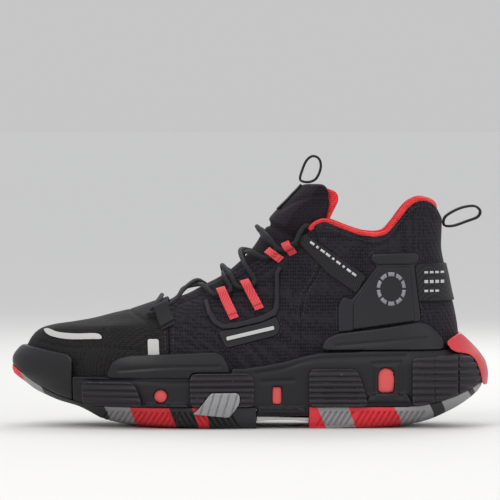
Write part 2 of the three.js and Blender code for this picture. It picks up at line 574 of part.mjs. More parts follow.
function overlays() {
  const counterGap = block(grown(counterOutline, GAP));
  const saddleGap = block(grown(saddleOutline, GAP));
  const frames = formLayer(GAP, FRAME_WALL);
  const thin = formLayer(GAP, OVERLAY_WALL);
  const bars = formLayer(OVERLAY_WALL + GAP, OVERLAY_WALL + GAP + 0.8);
  const counters = formLayer(GAP, COUNTER_WALL);
  for (const [side, sign] of SIDES) {
    add(`lace_frame_${side}`, frames.intersect(block(laceFrameOutline, sign)), 'darkPlastic');
    add(`side_patch_${side}`, thin.intersect(block(patchOutline, sign)), 'darkPlastic');
    add(`patch_bar_${side}`, bars.intersect(block(barOutline, sign)), 'reflective');
    add(`counter_plate_${side}`, counters.intersect(block(counterOutline, sign))
      .subtract(saddleGap), 'darkPlastic');
    add(`ankle_strap_${side}`, thin.intersect(block(strapOutline, sign)).subtract(counterGap),
      'webbing');
  }
  add('heel_strap', thin.intersect(block(heelStrapOutline)).subtract(counterGap), 'webbing');
  add('toe_stripe_lateral', formLayer(GAP, 1).intersect(block(stripeOutline, LATERAL)),
    'reflective');
  add('toe_tab_lateral', formLayer(GAP, 1).intersect(block(tabOutline, LATERAL))
    .subtract(block(grown(wingOutline, GAP))), 'reflective');
}

// ---- Lacing -------------------------------------------------------------------------------------
// Each row of the lacing is a webbing loop on each side. Its fold runs from front to back.
const LACE_RADIUS = LACE_DIAMETER / 2;
const FOLD_CLEARANCE = 1.3;
const FOLD_INNER = LACE_RADIUS + FOLD_CLEARANCE;
const FOLD_OUTER = FOLD_INNER + LOOP_WALL;
const FOLD_LIFT = FOLD_OUTER + GAP + 0.1;
const laceRows = [
  { front: [-62, 72], back: [-51, 77], tail: [4, -9], material: 'webbing' },
  { front: [-21, 84.5], back: [-14, 87], tail: [7.3, -15], material: 'redWebbing' },
  { front: [-5.5, 90.5], back: [1.5, 93], tail: [8, -15], material: 'redWebbing' },
  { front: [12.5, 110], back: [17, 114.5], tail: [5.5, -4], material: 'redWebbing' },
  { front: [22, 115.5], back: [28, 118.5], tail: [3, -5], material: 'redPlastic' },
];

// A strap that lies on the form and folds round the lace.
function laceLoop(row, sign) {
  const front = onForm(...row.front, sign, FOLD_LIFT);
  const back = onForm(...row.back, sign, FOLD_LIFT);
  const path = new THREE.LineCurve3(front, back);
  const tube = (radius, from, to) => {
    const circle = new THREE.Shape(new THREE.EllipseCurve(0, 0, radius, radius).getPoints(10)
      .slice(0, -1));
    const line = new THREE.LineCurve3(path.getPoint(from), path.getPoint(to));
    return toSolid(new THREE.ExtrudeGeometry(circle, { steps: 1, extrudePath: line }));
  };
  const strap = drawn([row.front, row.back,
    [row.back[0] + row.tail[0], row.back[1] + row.tail[1]],
    [row.front[0] + row.tail[0], row.front[1] + row.tail[1]]]);
  const layer = formLayer(GAP, GAP + 1.6).intersect(block(strap, sign));
  return tube(FOLD_OUTER, 0.2, 0.8).add(layer).subtract(tube(FOLD_INNER, -1, 2))
    .subtract(form(GAP));
}

// A point over the tongue on the middle line, at a distance from the form's front line.
function overTongue(z, lift) {
  const slice = formSlice(z, lift);
  return new THREE.Vector3(slice.front, 0, slice.height);
}

const UNDER_CLEARANCE = 0.7;
const UNDER_LIFT = LACE_RADIUS + UNDER_CLEARANCE - GUSSET_OFFSET;
const OVER_LIFT = UNDER_LIFT + LACE_DIAMETER + GAP / 2;
const FOLD_LEAD = 0.25;
const EDGE_LIFT = LACE_RADIUS + 6 * GAP;
const crossings = [93.5, 103.5, 113.5, 129];

// Where a strand lies on its way from a loop to the crossing over the tongue.
function besideTongue(from, crossing, side, share) {
  const top = [formFront(crossing), crossing];
  const x = from[0] + (top[0] - from[0]) * share;
  const z = from[1] + (top[1] - from[1]) * share;
  return onForm(x, z, side, EDGE_LIFT);
}

// Past the top loop each end goes over the edge of the throat and down between tongue and upper.
// Each point is a place in the side view and a distance from the form.
const laceTail = [[31, 122, 3.6], [32.6, 126, 3], [34.8, 129.6, 1], [36.4, 130.8, -2.2],
  [37.8, 130, -5.2], [39.8, 126.4, -5.8], [42, 120, -5.6], [44, 113, -5.6], [45, 106, -5.6]];

// The lace runs up both sides in a zigzag from the lowest row.
function laceRoute() {
  const half = (start) => {
    const points = [];
    let side = start;
    laceRows.forEach((row, k) => {
      const fold = new THREE.LineCurve3(onForm(...row.front, side, FOLD_LIFT),
        onForm(...row.back, side, FOLD_LIFT));
      points.push(fold.getPoint(-FOLD_LEAD), fold.getPoint(1 + FOLD_LEAD));
      if (k < crossings.length) {
        const over = (side === LATERAL) === (k % 2 === 0);
        points.push(besideTongue(row.back, crossings[k], side, 0.55));
        points.push(overTongue(crossings[k], over ? OVER_LIFT : UNDER_LIFT));
        points.push(besideTongue(laceRows[k + 1].front, crossings[k], -side, 0.55));
      }
      side = -side;
    });
    laceTail.forEach(([x, z, lift]) => points.push(onForm(x, z, -side, lift)));
    return points;
  };
  const sill = overTongue(83, OVER_LIFT + 1);
  const sillSide = (side) => besideTongue(laceRows[0].front, 83, side, 0.55);
  return [...half(LATERAL).reverse(), sillSide(LATERAL), sill, sillSide(MEDIAL),
    ...half(MEDIAL)];
}

// A curve that is divided evenly between its points rather than evenly along its length.
class EvenRoute extends THREE.CatmullRomCurve3 {
  getPointAt(share, target) {
    return this.getPoint(share, target);
  }

  getTangentAt(share, target) {
    return this.getTangent(share, target);
  }
}

function laceTube(radius) {
  const points = laceRoute();
  const route = new EvenRoute(points, false, 'centripetal');
  const circle = new THREE.Shape(new THREE.EllipseCurve(0, 0, radius, radius).getPoints(8)
    .slice(0, -1));
  const steps = points.length - 1;
  return toSolid(new THREE.ExtrudeGeometry(circle, { steps, extrudePath: route }));
}

function lacing() {
  const channel = laceTube(LACE_RADIUS + GAP);
  laceRows.forEach((row, k) => {
    for (const [side, sign] of SIDES) {
      add(`lace_loop_${side}_${k}`, laceLoop(row, sign).subtract(channel), row.material);
    }
  });
  add('lace', laceTube(LACE_RADIUS), 'webbing');
}

// ---- Pull loops ---------------------------------------------------------------------------------
// A closed loop of webbing, seen from the side, with a hole for a finger.
function webbingLoop(points, width) {
  const middle = new THREE.SplineCurve([...drawn(points), drawn(points)[0]]).getPoints(24)
    .slice(0, -1);
  const shape = new THREE.Shape(grown(middle, PULL_LOOP_WALL / 2));
  shape.holes.push(new THREE.Path(grown(middle, -PULL_LOOP_WALL / 2).reverse()));
  const geometry = new THREE.ExtrudeGeometry(shape, { depth: width, bevelEnabled: false });
  geometry.rotateX(Math.PI / 2);
  geometry.translate(0, width / 2, 0);
  return toSolid(geometry);
}

function pullLoops() {
  add('heel_loop', webbingLoop([[126.3, 130.5], [126.6, 135.4], [132, 139.4], [139, 142.2],
    [146, 142.8], [149.6, 139.8], [148, 135.8], [141, 133], [132, 130]], HEEL_LOOP_WIDTH), 'webbing');
  add('tongue_loop', webbingLoop([[32.6, 160], [34, 166.5], [36.8, 172.6], [40.6, 175.3],
    [44.4, 174], [46, 170], [45.2, 165], [42.4, 160.2], [37.5, 158.4]], TONGUE_LOOP_WIDTH), 'webbing');
}

outsole();
midsole();
pods();
insides();
upper();
tongue();
overlays();
lacing();
pullLoops();

export default group;
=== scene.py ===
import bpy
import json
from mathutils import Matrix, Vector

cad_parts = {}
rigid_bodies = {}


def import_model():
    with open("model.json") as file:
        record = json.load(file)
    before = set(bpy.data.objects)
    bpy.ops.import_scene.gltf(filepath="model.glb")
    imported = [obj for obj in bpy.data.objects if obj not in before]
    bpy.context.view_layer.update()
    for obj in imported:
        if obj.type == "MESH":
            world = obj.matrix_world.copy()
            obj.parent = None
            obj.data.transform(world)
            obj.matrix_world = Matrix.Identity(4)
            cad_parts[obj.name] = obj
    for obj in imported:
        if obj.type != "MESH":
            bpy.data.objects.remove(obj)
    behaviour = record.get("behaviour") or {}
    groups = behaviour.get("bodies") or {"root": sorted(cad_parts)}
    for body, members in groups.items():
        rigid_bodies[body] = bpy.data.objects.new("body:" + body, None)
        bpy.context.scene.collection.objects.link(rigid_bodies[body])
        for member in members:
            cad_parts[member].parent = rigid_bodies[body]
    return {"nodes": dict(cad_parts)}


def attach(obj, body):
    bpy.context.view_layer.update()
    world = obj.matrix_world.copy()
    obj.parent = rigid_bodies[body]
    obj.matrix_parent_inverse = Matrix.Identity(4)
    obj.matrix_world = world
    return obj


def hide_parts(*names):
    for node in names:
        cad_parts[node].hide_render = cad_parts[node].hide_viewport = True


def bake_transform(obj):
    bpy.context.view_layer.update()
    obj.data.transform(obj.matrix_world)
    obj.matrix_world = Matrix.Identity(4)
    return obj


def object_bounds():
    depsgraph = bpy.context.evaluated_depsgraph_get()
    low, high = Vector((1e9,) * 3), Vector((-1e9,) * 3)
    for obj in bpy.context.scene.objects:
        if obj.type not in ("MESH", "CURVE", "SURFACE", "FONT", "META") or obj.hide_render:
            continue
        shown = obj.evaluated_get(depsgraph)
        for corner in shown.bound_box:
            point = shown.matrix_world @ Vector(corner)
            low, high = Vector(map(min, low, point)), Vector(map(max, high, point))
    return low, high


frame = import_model()
CAD_BOX = [list(corner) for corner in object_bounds()]

# Basketball high top, left shoe. The toe points to -X and the outer side of the foot is -Y.
# Shapes are worked out in millimetres and become metres when a mesh is made. They follow the same
# two families of horizontal slices as the CAD model: the foot form and the sole form.
import json
import math

import bmesh
import bpy
import numpy as np
from mathutils import Vector

MM = 0.001
GAP = 0.3
UPPER_WALL = 3.2
LATERAL, MEDIAL = -1, 1
SIDES = (("lateral", LATERAL), ("medial", MEDIAL))
COARSE = 1.0


# ---- Curves through points ----------------------------------------------------------------------
def curve_through(pairs):
    """A smooth curve through (position, value) pairs that never overshoots them."""
    at, value = np.array(pairs, float).T
    step = np.diff(value) / np.diff(at)
    slope = np.zeros(len(at))
    before, after = step[:-1], step[1:]
    same = before * after > 0
    slope[1:-1][same] = 2 * before[same] * after[same] / (before[same] + after[same])

    def curve(position):
        position = np.clip(np.asarray(position, float), at[0], at[-1])
        i = np.clip(np.searchsorted(at, position, side="right") - 1, 0, len(at) - 2)
        span = at[i + 1] - at[i]
        t = (position - at[i]) / span
        return (value[i] * (2 * t**3 - 3 * t**2 + 1) + value[i + 1] * (3 * t**2 - 2 * t**3)
                + span * (slope[i] * (t**3 - 2 * t**2 + t) + slope[i + 1] * (t**3 - t**2)))

    return curve


def ease(value):
    value = np.clip(value, 0, 1)
    return value**2 * (3 - 2 * value)


# ---- The foot form and the sole form ------------------------------------------------------------
form_front = curve_through([(10, -147), (44, -147), (50, -146), (55, -144), (59.5, -141),
    (63.5, -136), (65.8, -128), (67.8, -115), (70, -102), (73, -90), (76, -78), (80, -66),
    (84, -54), (88, -45), (94, -34), (100, -23), (106, -14), (112, -7), (119, -1), (127, 4),
    (134, 9), (142, 16), (150, 24), (162, 33)])
form_back = curve_through([(10, 136), (50, 136), (64, 135), (78, 132.5), (88, 130), (98, 128),
    (107, 126), (118, 124.5), (130, 124.5), (140, 125), (150, 124), (162, 121)])
form_front_round = curve_through([(10, 78), (60, 78), (70, 70), (84, 62), (100, 50), (120, 38),
    (140, 34), (162, 32)])
form_back_round = curve_through([(10, 46), (60, 46), (100, 42), (162, 38)])
sole_front = curve_through([(0, -65), (1.2, -81), (4.9, -97), (8.7, -104), (12.6, -112),
    (16.5, -125), (20.4, -134), (24, -141), (28, -146), (32, -151.5), (36, -155), (44, -155),
    (50, -151.5), (54, -147), (62, -140), (72, -130)])
sole_back = curve_through([(0, 92), (1, 103), (4.9, 118.5), (8.7, 127), (12.6, 134.5),
    (16.5, 140.5), (20, 145), (24, 149), (28, 151), (34, 151.5), (40, 150.5), (46, 148),
    (52, 143), (60, 138.5), (72, 134)])
sole_flare = curve_through([(0, -7), (4, -4), (10, -1.5), (18, 0), (40, 0), (50, -2.5),
    (62, -4.5), (72, -5.5)])
sole_half = {
    LATERAL: curve_through([(-155, 40), (-120, 46), (-90, 51), (-60, 54), (-30, 52), (0, 47),
        (30, 43), (60, 42), (90, 43), (120, 43), (155, 41)]),
    MEDIAL: curve_through([(-155, 40), (-120, 45), (-90, 51), (-60, 53), (-30, 47), (0, 41),
        (30, 39), (60, 40.5), (90, 42.5), (120, 42.5), (155, 41)]),
}
form_taper = curve_through([(-150, 0.2), (-60, 0.25), (0, 0.22), (40, 0.14), (80, 0.1),
    (130, 0.05)])
UPPER_INSET = 6.5
TAPER_START, TAPER_RISE = 35, 62
TOE_SWING = 6
FRONT_POWER, BACK_POWER = 2.05, 2.3
SOLE_FRONT_ROUND, SOLE_BACK_ROUND = 80, 50
TOP_LEVEL = 162


def centre_line(x):
    return TOE_SWING * ease((-60 - x) / 90)


def form_half(x, z, side):
    taper = form_taper(x) * ease((z - TAPER_START) / TAPER_RISE)
    return (sole_half[side](x) - UPPER_INSET) * (1 - taper)


def fullness(distance, round_length, power):
    short = np.clip(1 - distance / round_length, 0, 1)
    return (1 - short**power) ** (1 / power)


class FormSlices:
    """The slice that leaves the form's front line at a level, moved outwards by an offset."""

    def __init__(self, level, offset):
        slope = form_front(level + 0.5) - form_front(level - 0.5)
        length = np.hypot(slope, 1)
        self.height = level + offset * slope / length
        self.front = form_front(level) - offset / length
        self.back = form_back(self.height) + offset
        self.front_round = form_front_round(level)
        self.back_round = form_back_round(level)
        self.offset = offset

    def half(self, x, side):
        return form_half(x, self.height, side) + self.offset


class SoleSlices:
    """The sole form only moves outwards on the level. Its offset may differ with the level."""

    def __init__(self, level, offset):
        self.height = level + 0 * offset
        self.front = sole_front(level) - offset
        self.back = sole_back(level) + offset
        self.front_round = SOLE_FRONT_ROUND + 0 * level
        self.back_round = SOLE_BACK_ROUND + 0 * level
        self.level = level
        self.offset = offset

    def half(self, x, side):
        return sole_half[side](x) + sole_flare(self.level) + self.offset


def loft(slices, steps):
    """Corners and faces of one closed body through a stack of slices."""
    share = (1 - np.cos(np.pi * np.arange(steps + 1) / steps)) / 2
    for name in ("height", "front", "back", "front_round", "back_round"):
        setattr(slices, name, np.asarray(getattr(slices, name), float)[:, None])
    if hasattr(slices, "level"):
        slices.level = slices.level[:, None]
        slices.offset = np.broadcast_to(slices.offset, slices.level.shape[:1])[:, None]
    x = slices.front + (slices.back - slices.front) * share
    full = (fullness(x - slices.front, slices.front_round, FRONT_POWER)
            * fullness(slices.back - x, slices.back_round, BACK_POWER))
    middle = centre_line(x)
    height = np.broadcast_to(slices.height, x.shape)
    near = np.stack([x, middle - slices.half(x, LATERAL) * full, height], -1)
    far = np.stack([x, middle + slices.half(x, MEDIAL) * full, height], -1)
    corners = np.concatenate([near, far[:, -2:0:-1]], 1)
    rows, count = corners.shape[:2]
    faces = []
    for k in range(rows - 1):
        for i in range(count):
            j = (i + 1) % count
            faces.append((k * count + i, k * count + j, (k + 1) * count + j,
                          (k + 1) * count + i))
    top = (rows - 1) * count
    for i in range(steps):
        strip = [i, (count - i) % count, (count - i - 1) % count, i + 1]
        strip = list(dict.fromkeys(strip))
        faces.append(tuple(strip))
        faces.append(tuple(top + corner for corner in reversed(strip)))
    return corners.reshape(-1, 3), faces


# ---- Meshes and cuts ----------------------------------------------------------------------------
WORKBENCH = bpy.data.collections.new("workbench")
bpy.context.scene.collection.children.link(WORKBENCH)


def new_mesh(name, corners, faces):
    mesh = bpy.data.meshes.new(name)
    mesh.from_pydata((np.asarray(corners) * MM).tolist(), [], faces)
    mesh.update()
    return mesh


def on_bench(name, corners, faces):
    thing = bpy.data.objects.new(name, new_mesh(name, corners, faces))
    WORKBENCH.objects.link(thing)
    return thing


def even_levels(curve, low, high, count):
    """Heights that divide a profile evenly along its length."""
    fine = np.linspace(low, high, 1500)
    along = np.concatenate([[0], np.cumsum(np.hypot(np.diff(fine), np.diff(curve(fine))))])
    return np.interp(np.linspace(0, along[-1], count), along, fine)


RING_STEPS = 80
FORM_LEVELS = even_levels(form_front, 12, TOP_LEVEL, 110)
SOLE_LEVELS = np.unique(np.concatenate([even_levels(sole_front, 0, 40, 34),
                                        np.linspace(40, 72, 16)]))
benched = {}


def form(offset):
    key = ("form", offset)
    if key not in benched:
        benched[key] = on_bench("form", *loft(FormSlices(FORM_LEVELS, offset), RING_STEPS))
    return benched[key]


def sole(offset):
    key = ("sole", offset)
    if key not in benched:
        benched[key] = on_bench("sole", *loft(SoleSlices(SOLE_LEVELS, offset), RING_STEPS))
    return benched[key]


POD_PROUD = 3.5
RIB_DEPTH, RIB_PITCH, HEEL_RIB_PITCH = 1.6, 3.6, 4.1


def ribbed_sole(low, high, pitch, outer):
    """The sole form with rounded horizontal ribs."""
    count = round((high - low) / pitch)
    levels = np.linspace(low - 4, high + 4, 10 * count)
    phase = (levels - low) / (high - low) * count % 1
    groove = np.exp(-((phase - 0.5) / 0.17) ** 2)
    inside = (levels > low) & (levels < high)
    return on_bench("ribs", *loft(SoleSlices(levels, outer - RIB_DEPTH * groove * inside),
                                  RING_STEPS))


def rounded(points, radius, steps=5):
    """A straight-sided outline with its corners rounded."""
    path = []
    count = len(points)
    for i, corner in enumerate(points):
        corner = np.array(corner, float)
        before = np.array(points[i - 1], float) - corner
        after = np.array(points[(i + 1) % count], float) - corner
        start = corner + before * min(radius / np.hypot(*before), 0.45)
        end = corner + after * min(radius / np.hypot(*after), 0.45)
        for t in np.linspace(0, 1, steps):
            path.append(tuple((1 - t) ** 2 * start + 2 * t * (1 - t) * corner + t**2 * end))
    return path


def spline(points, steps=8, closed=False):
    """A Catmull-Rom curve through points of any dimension."""
    points = np.array(points, float)
    if closed:
        padded = np.concatenate([points[-1:], points, points[:2]])
    else:
        padded = np.concatenate([[2 * points[0] - points[1]], points,
                                 [2 * points[-1] - points[-2]]])
    path = []
    for i in range(1, len(padded) - 2):
        a, b, c, d = padded[i - 1:i + 3]
        for t in np.linspace(0, 1, steps, endpoint=False):
            path.append(0.5 * (2 * b + (c - a) * t + (2 * a - 5 * b + 4 * c - d) * t**2
                               + (3 * b - a - 3 * c + d) * t**3))
    if not closed:
        path.append(points[-1])
    return np.array(path)


def grown(outline, clearance):
    """The outline moved outwards by a clearance."""
    points = np.array(outline, float)
    following = np.roll(points, -1, 0)
    area = np.sum(points[:, 0] * following[:, 1] - following[:, 0] * points[:, 1])
    along = following - np.roll(points, 1, 0)
    along /= np.maximum(np.hypot(*along.T), 1e-6)[:, None]
    return points + np.sign(area) * clearance * np.stack([along[:, 1], -along[:, 0]], 1)


BLOCK_HALF_WIDTH = 140


def block(outline, side=0, inner=GAP / 2):
    """A block with this side outline, across the whole shoe or on one side of it."""
    low = -BLOCK_HALF_WIDTH if side != MEDIAL else inner
    high = BLOCK_HALF_WIDTH if side != LATERAL else -inner
    points = np.array(outline, float)
    following = np.roll(points, -1, 0)
    if np.sum(points[:, 0] * following[:, 1] - following[:, 0] * points[:, 1]) > 0:
        points = points[::-1]
    count = len(points)
    corners = [(x, low, z) for x, z in points] + [(x, high, z) for x, z in points]
    faces = [tuple(reversed(range(count))), tuple(range(count, 2 * count))]
    faces += [(i, (i + 1) % count, count + (i + 1) % count, count + i) for i in range(count)]
    return on_bench("block", corners, faces)


def slab(x0, z0, x1, z1):
    return [(x0, z0), (x1, z0), (x1, z1), (x0, z1)]


def carve(base, *cuts):
    """A copy of a benched solid after cuts, each "+", "-" or "&" and another solid."""
    thing = bpy.data.objects.new("carved", base.data.copy())
    WORKBENCH.objects.link(thing)
    words = {"+": "UNION", "-": "DIFFERENCE", "&": "INTERSECT"}
    for sign, other in cuts:
        cut = thing.modifiers.new("cut", "BOOLEAN")
        cut.solver = "MANIFOLD"
        cut.operation = words[sign]
        cut.object = other
    return baked(thing)


def baked(thing):
    graph = bpy.context.evaluated_depsgraph_get()
    mesh = bpy.data.meshes.new_from_object(thing.evaluated_get(graph))
    thing.modifiers.clear()
    thing.data = mesh
    return thing


def softened(thing, voxel, passes):
    """Turns a carved solid into an even mesh with rounded edges."""
    remesh = thing.modifiers.new("even", "REMESH")
    remesh.mode = "VOXEL"
    remesh.voxel_size = voxel * COARSE * MM
    remesh.use_smooth_shade = True
    smooth = thing.modifiers.new("smooth", "SMOOTH")
    smooth.factor = 0.5
    smooth.iterations = passes
    return baked(thing)


def corners_of(thing):
    flat = np.empty(len(thing.data.vertices) * 3, np.float32)
    thing.data.vertices.foreach_get("co", flat)
    return flat.reshape(-1, 3).astype(float) / MM


def normals_of(thing):
    flat = np.empty(len(thing.data.vertices) * 3, np.float32)
    thing.data.vertices.foreach_get("normal", flat)
    return flat.reshape(-1, 3).astype(float)


def move_corners(thing, corners):
    thing.data.vertices.foreach_set("co", (corners * MM).astype(np.float32).ravel())
    thing.data.update()


def distance_to(line, points):
    """The distance of each point from a polyline."""
    best = np.full(len(points), 1e9)
    for a, b in zip(line[:-1], line[1:]):
        a, b = np.array(a, float), np.array(b, float)
        t = np.clip((points - a) @ (b - a) / max((b - a) @ (b - a), 1e-9), 0, 1)
        best = np.minimum(best, np.linalg.norm(points - a - t[:, None] * (b - a), axis=1))
    return best


def groove(thing, line, depth, width, side=0):
    """Presses a seam into a piece along a line seen from the side."""
    corners = corners_of(thing)
    away = distance_to(line, corners[:, (0, 2)])
    press = depth * np.exp(-(away / width) ** 2)
    if side:
        press *= corners[:, 1] * side > 0
    move_corners(thing, corners - normals_of(thing) * press[:, None])


def ripple(thing, height, length, seed):
    """A slow uneven swell, as sewn cloth over foam has."""
    corners = corners_of(thing)
    chance = np.random.default_rng(seed)
    swell = np.zeros(len(corners))
    for _ in range(7):
        direction = chance.normal(size=3)
        direction *= 2 * math.pi / (length * chance.uniform(0.7, 1.6) * np.linalg.norm(direction))
        swell += np.sin(corners @ direction + chance.uniform(0, 6.28))
    move_corners(thing, corners + normals_of(thing) * (height * swell / 3)[:, None])


def finish_piece(thing, name, material, nodes=(), body="shoe"):
    """Takes a piece off the bench and gives it its name, finish, body and the nodes it covers."""
    thing.name = name
    thing.data.name = name
    thing.data.materials.clear()
    thing.data.materials.append(material)
    thing.data.shade_smooth()
    WORKBENCH.objects.unlink(thing)
    bpy.context.scene.collection.objects.link(thing)
    if body:
        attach(thing, body)
    if nodes:
        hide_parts(*nodes)
    return thing


def skin(thing, node, material, body="shoe"):
    """Finishes a piece that covers one node."""
    return finish_piece(thing, f"{node}_skin", material, [node], body)


# ---- The surface of the form --------------------------------------------------------------------
def form_width(x, z, side):
    slices = FormSlices(np.asarray(z, float), 0)
    return (slices.half(x, side) * fullness(x - slices.front, slices.front_round, FRONT_POWER)
            * fullness(slices.back - x, slices.back_round, BACK_POWER))


def on_form(x, z, side, lift):
    """The point of the form seen at (x, z) from the side, lifted off along its normal."""
    width = form_width(x, z, side)
    along_x = form_width(x + 0.5, z, side) - form_width(x - 0.5, z, side)
    along_z = form_width(x, z + 0.5, side) - form_width(x, z - 0.5, side)
    normal = np.array([-along_x, side, -along_z], float)
    normal /= np.linalg.norm(normal)
    return np.array([x, centre_line(x) + side * width, z]) + normal * lift


# ---- Materials ----------------------------------------------------------------------------------
def linear(*rgb):
    return tuple(((c / 255 + 0.055) / 1.055) ** 2.4 if c > 10 else c / 255 / 12.92
                 for c in rgb) + (1.0,)


class Finish:
    """A node material that starts with its shader and the object's own coordinates."""

    def __init__(self, name, colour, roughness, sheen=0.0, coat=0.0, specular=0.5):
        self.material = bpy.data.materials.new(name)
        self.material.use_nodes = True
        self.nodes = self.material.node_tree.nodes
        self.links = self.material.node_tree.links
        self.shader = self.nodes["Principled BSDF"]
        self.shader.inputs["Base Color"].default_value = colour
        self.shader.inputs["Roughness"].default_value = roughness
        self.shader.inputs["Sheen Weight"].default_value = sheen
        self.shader.inputs["Sheen Roughness"].default_value = 0.45
        self.shader.inputs["Coat Weight"].default_value = coat
        self.shader.inputs["Coat Roughness"].default_value = 0.25
        self.shader.inputs["Specular IOR Level"].default_value = specular
        self.place = self.nodes.new("ShaderNodeTexCoord").outputs["Object"]
        self.height = None

    def node(self, kind, **inputs):
        made = self.nodes.new(kind)
        for name, value in inputs.items():
            socket = made.inputs[name.replace("_", " ")]
            if hasattr(value, "links"):
                self.links.new(value, socket)
            else:
                socket.default_value = value
        return made

    def maths(self, operation, a, b):
        made = self.nodes.new("ShaderNodeMath")
        made.operation = operation
        for socket, value in zip(made.inputs, (a, b)):
            if hasattr(value, "links"):
                self.links.new(value, socket)
            else:
                socket.default_value = value
        return made.outputs[0]

    def stretched(self, scale, turn=(0, 0, 0)):
        made = self.node("ShaderNodeMapping", Vector=self.place, Scale=scale, Rotation=turn)
        return made.outputs["Vector"]

    def noise(self, scale, detail=3.0, where=None):
        made = self.node("ShaderNodeTexNoise", Vector=where or self.place, Scale=scale,
                         Detail=detail)
        return made.outputs["Fac"]

    def cells(self, scale, randomness, where=None):
        made = self.node("ShaderNodeTexVoronoi", Vector=where or self.place, Scale=scale,
                         Randomness=randomness)
        return made.outputs["Distance"]

    def waves(self, scale, direction, distortion=0.0, where=None):
        made = self.node("ShaderNodeTexWave", Vector=where or self.place, Scale=scale,
                         Distortion=distortion)
        made.bands_direction = direction
        return made.outputs["Fac"]

    def ramp(self, factor, low, high, start=0.0, end=1.0):
        made = self.node("ShaderNodeValToRGB", Fac=factor)
        made.color_ramp.elements[0].color = low
        made.color_ramp.elements[0].position = start
        made.color_ramp.elements[1].color = high
        made.color_ramp.elements[1].position = end
        return made.outputs["Color"]

    def colour(self, socket):
        self.links.new(socket, self.shader.inputs["Base Color"])

    def roughness(self, factor, low, high):
        made = self.node("ShaderNodeMapRange", Value=factor, To_Min=low, To_Max=high)
        self.links.new(made.outputs["Result"], self.shader.inputs["Roughness"])

    def bump(self, height, distance, strength=1.0):
        made = self.node("ShaderNodeBump", Height=height, Distance=distance * MM,
                         Strength=strength)
        if self.height:
            self.links.new(self.height, made.inputs["Normal"])
        self.height = made.outputs["Normal"]
        self.links.new(self.height, self.shader.inputs["Normal"])


def knit_finish(name, dark, light, cell, sheen, rib=0.0):
    """A knit of small cells, with fine fuzz and slow colour drift."""
    made = Finish(name, light, 0.85, sheen=sheen, specular=0.15)
    where = made.stretched((1.0, 1.0, 0.72))
    dots = made.cells(cell, 0.28, where)
    fuzz = made.noise(900, 4)
    drift = made.noise(28, 3)
    shade = made.maths("MULTIPLY", dots, made.maths("ADD", 0.65, made.maths("MULTIPLY", drift, 0.7)))
    made.colour(made.ramp(shade, dark, light, 0.12, 0.62))
    made.roughness(fuzz, 0.72, 0.95)
    made.bump(dots, 0.35, 0.9)
    if rib:
        made.bump(made.waves(rib, "DIAGONAL", 1.2), 0.4, 0.55)
    made.bump(fuzz, 0.06, 0.6)
    return made.material


def weave_finish(name, dark, light, pitch, sheen=0.05, roughness=0.7):
    """Flat woven webbing with slanted threads both ways."""
    made = Finish(name, light, roughness, sheen=sheen, specular=0.25)
    first = made.waves(pitch, "X", 0.0, made.stretched((1, 1, 1), (0, 0.785, 0)))
    second = made.waves(pitch, "X", 0.0, made.stretched((1, 1, 1), (0.6, -0.785, 0.6)))
    threads = made.maths("MAXIMUM", first, second)
    made.colour(made.ramp(threads, dark, light, 0.3, 0.95))
    made.bump(threads, 0.18, 0.8)
    made.bump(made.noise(1200, 3), 0.04, 0.5)
    return made.material


def moulded_finish(name, colour, clouded_and_edge_lit, low, high, coat=0.0, grain=260):
    """Moulded plastic, foam or rubber with a fine grain, faint clouding and a painted highlight on
    its sharper edges.
    """
    made = Finish(name, colour, low, coat=coat, specular=0.32)
    clouds = made.noise(45, 4)
    # Painted highlight: sharper edges (high pointiness) are lightened towards the second colour,
    # mixed with random clouding.
    edge = made.node("ShaderNodeNewGeometry").outputs["Pointiness"]
    edge_highlight_and_clouds = made.maths("MULTIPLY", made.maths("SUBTRACT", edge, 0.5), 7.0)
    edge_highlight_and_clouds = made.maths("ADD", edge_highlight_and_clouds, made.maths("MULTIPLY", made.maths("SUBTRACT", clouds, 0.5), 0.5))
    made.colour(made.ramp(edge_highlight_and_clouds, colour, clouded_and_edge_lit, 0.15, 0.9))
    made.roughness(made.noise(90, 4), low, high)
    made.bump(made.noise(grain * 8, 2), 0.03, 0.7)
    made.bump(made.cells(grain * 5, 1.0), 0.03, 0.4)
    return made.material


KNIT_BLACK = knit_finish("vamp_knit", linear(7, 6, 7), linear(38, 36, 37), 950, 0.05)
QUARTER_KNIT = knit_finish("quarter_knit", linear(6, 5, 7), linear(40, 37, 43), 620, 0.05, 90)
TONGUE_KNIT = knit_finish("tongue_knit", linear(6, 5, 6), linear(36, 29, 36), 700, 0.06)
LINING_RED = knit_finish("lining_red", linear(140, 12, 20), linear(228, 58, 60), 1100, 0.15)
INSOLE_CLOTH = knit_finish("insole_cloth", linear(22, 20, 22), linear(70, 66, 70), 1200, 0.1)
FOAM_BLACK = moulded_finish("foam_black", linear(21, 19, 23), linear(56, 52, 58), 0.46, 0.62)
FOAM_DEEP = moulded_finish("foam_deep", linear(32, 29, 34), linear(74, 70, 77), 0.4, 0.58)
FOAM_RED = moulded_finish("foam_red", linear(214, 84, 86), linear(240, 128, 126), 0.45, 0.6)
PLASTIC_BLACK = moulded_finish("plastic_black", linear(15, 14, 18), linear(50, 48, 56), 0.4,
                               0.52, coat=0.06)
PLATE_BLACK = moulded_finish("plate_black", linear(21, 19, 25), linear(54, 51, 59), 0.44, 0.58,
                             coat=0.05, grain=160)
PLASTIC_RED = moulded_finish("plastic_red", linear(190, 50, 57), linear(218, 86, 90), 0.34,
                             0.48, coat=0.15)
RUBBER_GREY = moulded_finish("rubber_grey", linear(142, 141, 143), linear(180, 179, 180), 0.55,
                             0.75)
